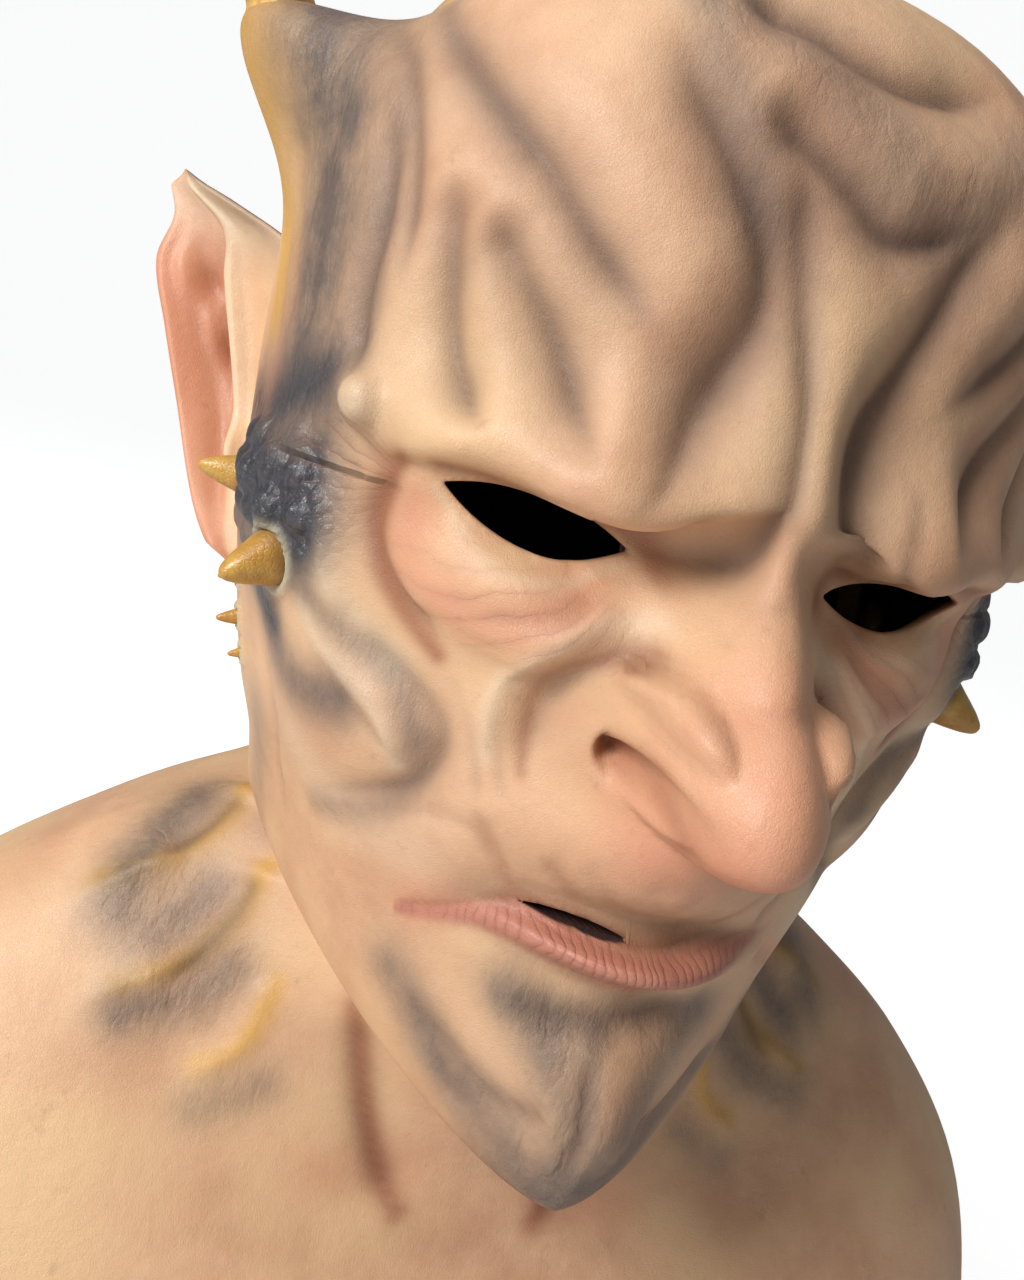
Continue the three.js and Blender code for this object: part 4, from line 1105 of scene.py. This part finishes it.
# Spikes. Hard resin thorns at the temples and behind the jaw, pushed through the skin from inside and glued.
# Each stands square to the skin, its foot in the torn collar that the casting leaves for it.
spike_root = 0.008
spike_profile = [[0, 0.22, 0.45, 0.66, 0.82, 0.93, 0.985, 1], [1, 1.0, 0.9, 0.66, 0.46, 0.27, 0.12, 0]]
spike_around = 36
spike_rows = 40

spike_resin, tree, shader = new_material("spike resin")
where = tree.nodes.new("ShaderNodeTexCoord").outputs["Object"]
cloud = noise_node(tree, where, 190, 4, 0.55)
colour = mix_colour(tree, ramp(tree, cloud, 0.3, 0.7), rgb(204, 160, 74), rgb(178, 128, 50))
colour = mix_colour(tree, mesh_value(tree, "foot"), colour, rgb(120, 88, 52))
link(tree, colour, shader.inputs["Base Color"])
link(tree, plus(tree, times(tree, cloud, 0.2), 0.26), shader.inputs["Roughness"])
shader.inputs["Coat Weight"].default_value = 0.3
shader.inputs["Coat Roughness"].default_value = 0.2
shader.inputs["Subsurface Weight"].default_value = 0.1
shader.inputs["Subsurface Radius"].default_value = (1.0, 0.6, 0.2)
shader.inputs["Subsurface Scale"].default_value = 0.002
bump_from(tree, shader, plus(tree, grain_node(tree, where, 700).outputs["Height"], cloud), 0.35, 0.0004)

for side, word in ((-1, "right"), (1, "left")):
    for place_name, turn, key, radius, length, lean in spikes:
        turns = np.array([turn * side], float)
        keys = np.array([key], float)
        foot = outer_skin(turns, keys)[0]
        way = outward(swollen, turns, keys)[0] + np.array([0, 0, lean])
        way = Vector(way).normalized()
        full = length / 1000 + spike_root
        spin_to = Vector((0, 0, 1)).rotation_difference(way).to_matrix()

        def thorn(around, down, radius=radius, full=full, foot=foot, spin_to=spin_to):
            up = 1 - down
            width = radius / 1000 * np.interp(up, *spike_profile)
            angle = around * 2 * math.pi
            width = width * (1 + 0.03 * np.sin(angle * 3 + up * 4))
            local = np.stack([width * np.cos(angle), width * np.sin(angle), up * full - spike_root], -1)
            return local @ np.array(spin_to).T + foot

        cone = bmesh.new()
        shaped_grid(cone, spike_around, spike_rows, thorn)
        bmesh.ops.remove_doubles(cone, verts=cone.verts, dist=1e-6)
        for again in range(3):
            smoothed(cone, cone.verts, 0.5)
        bmesh.ops.holes_fill(cone, edges=[e for e in cone.edges if e.is_boundary])
        bmesh.ops.recalc_face_normals(cone, faces=cone.faces)
        name = f"{word}_spike_{place_name}"
        made, spike_mesh = piece_from(cone, name + "_resin")
        rise = (np.array([v.co for v in spike_mesh.vertices]) - foot) @ np.array(way)
        keep(spike_mesh, "foot", np.clip(1 - rise / (0.25 * length / 1000), 0, 1) * 0.6)
        spike_mesh.materials.append(spike_resin)
        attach(made, "root")
        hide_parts(name)


# Stage and light. A pale floor that curves up all round into a wall, and soft light from the mask's right.
floor_z = eye_line + sections[-1][2] * face - 0.002
backdrop = bmesh.new()
profile = [(0.0, 0.0), (2.2, 0.0), (2.75, 0.08), (3.15, 0.35), (3.4, 0.8), (3.5, 1.4), (3.5, 3.2)]
line = [backdrop.verts.new((radius, 0, rise)) for radius, rise in profile]
edges = [backdrop.edges.new(pair) for pair in zip(line, line[1:])]
bmesh.ops.spin(
    backdrop, geom=line + edges, cent=(0, 0, 0), axis=(0, 0, 1), angle=2 * math.pi, steps=64, use_merge=True
)
bmesh.ops.remove_doubles(backdrop, verts=backdrop.verts, dist=1e-5)
bmesh.ops.recalc_face_normals(backdrop, faces=backdrop.faces)
bmesh.ops.translate(backdrop, verts=backdrop.verts, vec=(0, 0, floor_z))
floor, floor_mesh = piece_from(backdrop, "floor")
paper, tree, shader = new_material("pale paper")
shader.inputs["Base Color"].default_value = (0.82, 0.82, 0.82, 1)
shader.inputs["Roughness"].default_value = 0.9
shader.inputs["Emission Color"].default_value = (1, 1, 1, 1)
# The paper's own glow only whitens what the camera sees of it, so it isn't sampled as a lamp.
seen = tree.nodes.new("ShaderNodeLightPath").outputs["Is Camera Ray"]
link(tree, times(tree, seen, 0.75), shader.inputs["Emission Strength"])
paper.cycles.emission_sampling = "NONE"
floor_mesh.materials.append(paper)

world = bpy.data.worlds.new("soft daylight")
world.use_nodes = True
world.node_tree.nodes["Background"].inputs["Color"].default_value = (0.94, 0.97, 1.0, 1)
world.node_tree.nodes["Background"].inputs["Strength"].default_value = 0.24
bpy.context.scene.world = world

lamps = [
    ["key", (-0.85, -0.5, 0.35), 0.45, 11.5, (1.0, 0.98, 0.95)],
    ["top", (-0.3, -0.1, 1.0), 0.6, 3, (1.0, 0.99, 0.97)],
]
aim = Vector((0, -0.03, -0.13))
for name, place, size, power, tint in lamps:
    lamp = bpy.data.lights.new(name, "AREA")
    lamp.size = size
    lamp.energy = power
    lamp.color = tint
    made = bpy.data.objects.new(name, lamp)
    made.location = place
    made.rotation_euler = (aim - Vector(place)).to_track_quat("-Z", "Y").to_euler()
    bpy.context.scene.collection.objects.link(made)

# The camera stands close, low and to the mask's right, tilted as in a hand-held close view.
camera_place = Vector((-0.1130, -0.3326, -0.0910))
camera_aim = Vector((-0.010, 0.015, -0.1648))
camera_roll = math.radians(15)
camera_data = bpy.data.cameras.new("camera")
camera_data.sensor_width = 36
camera_data.lens = 39.1
camera_data.clip_start = 0.01
camera = bpy.data.objects.new("camera", camera_data)
camera.rotation_mode = "QUATERNION"
camera.location = camera_place
looking = (camera_aim - camera_place).to_track_quat("-Z", "Y")
camera.rotation_quaternion = looking @ Quaternion((0, 0, 1), camera_roll)
bpy.context.scene.collection.objects.link(camera)
bpy.context.scene.camera = camera
bpy.context.scene.view_settings.view_transform = "Standard"
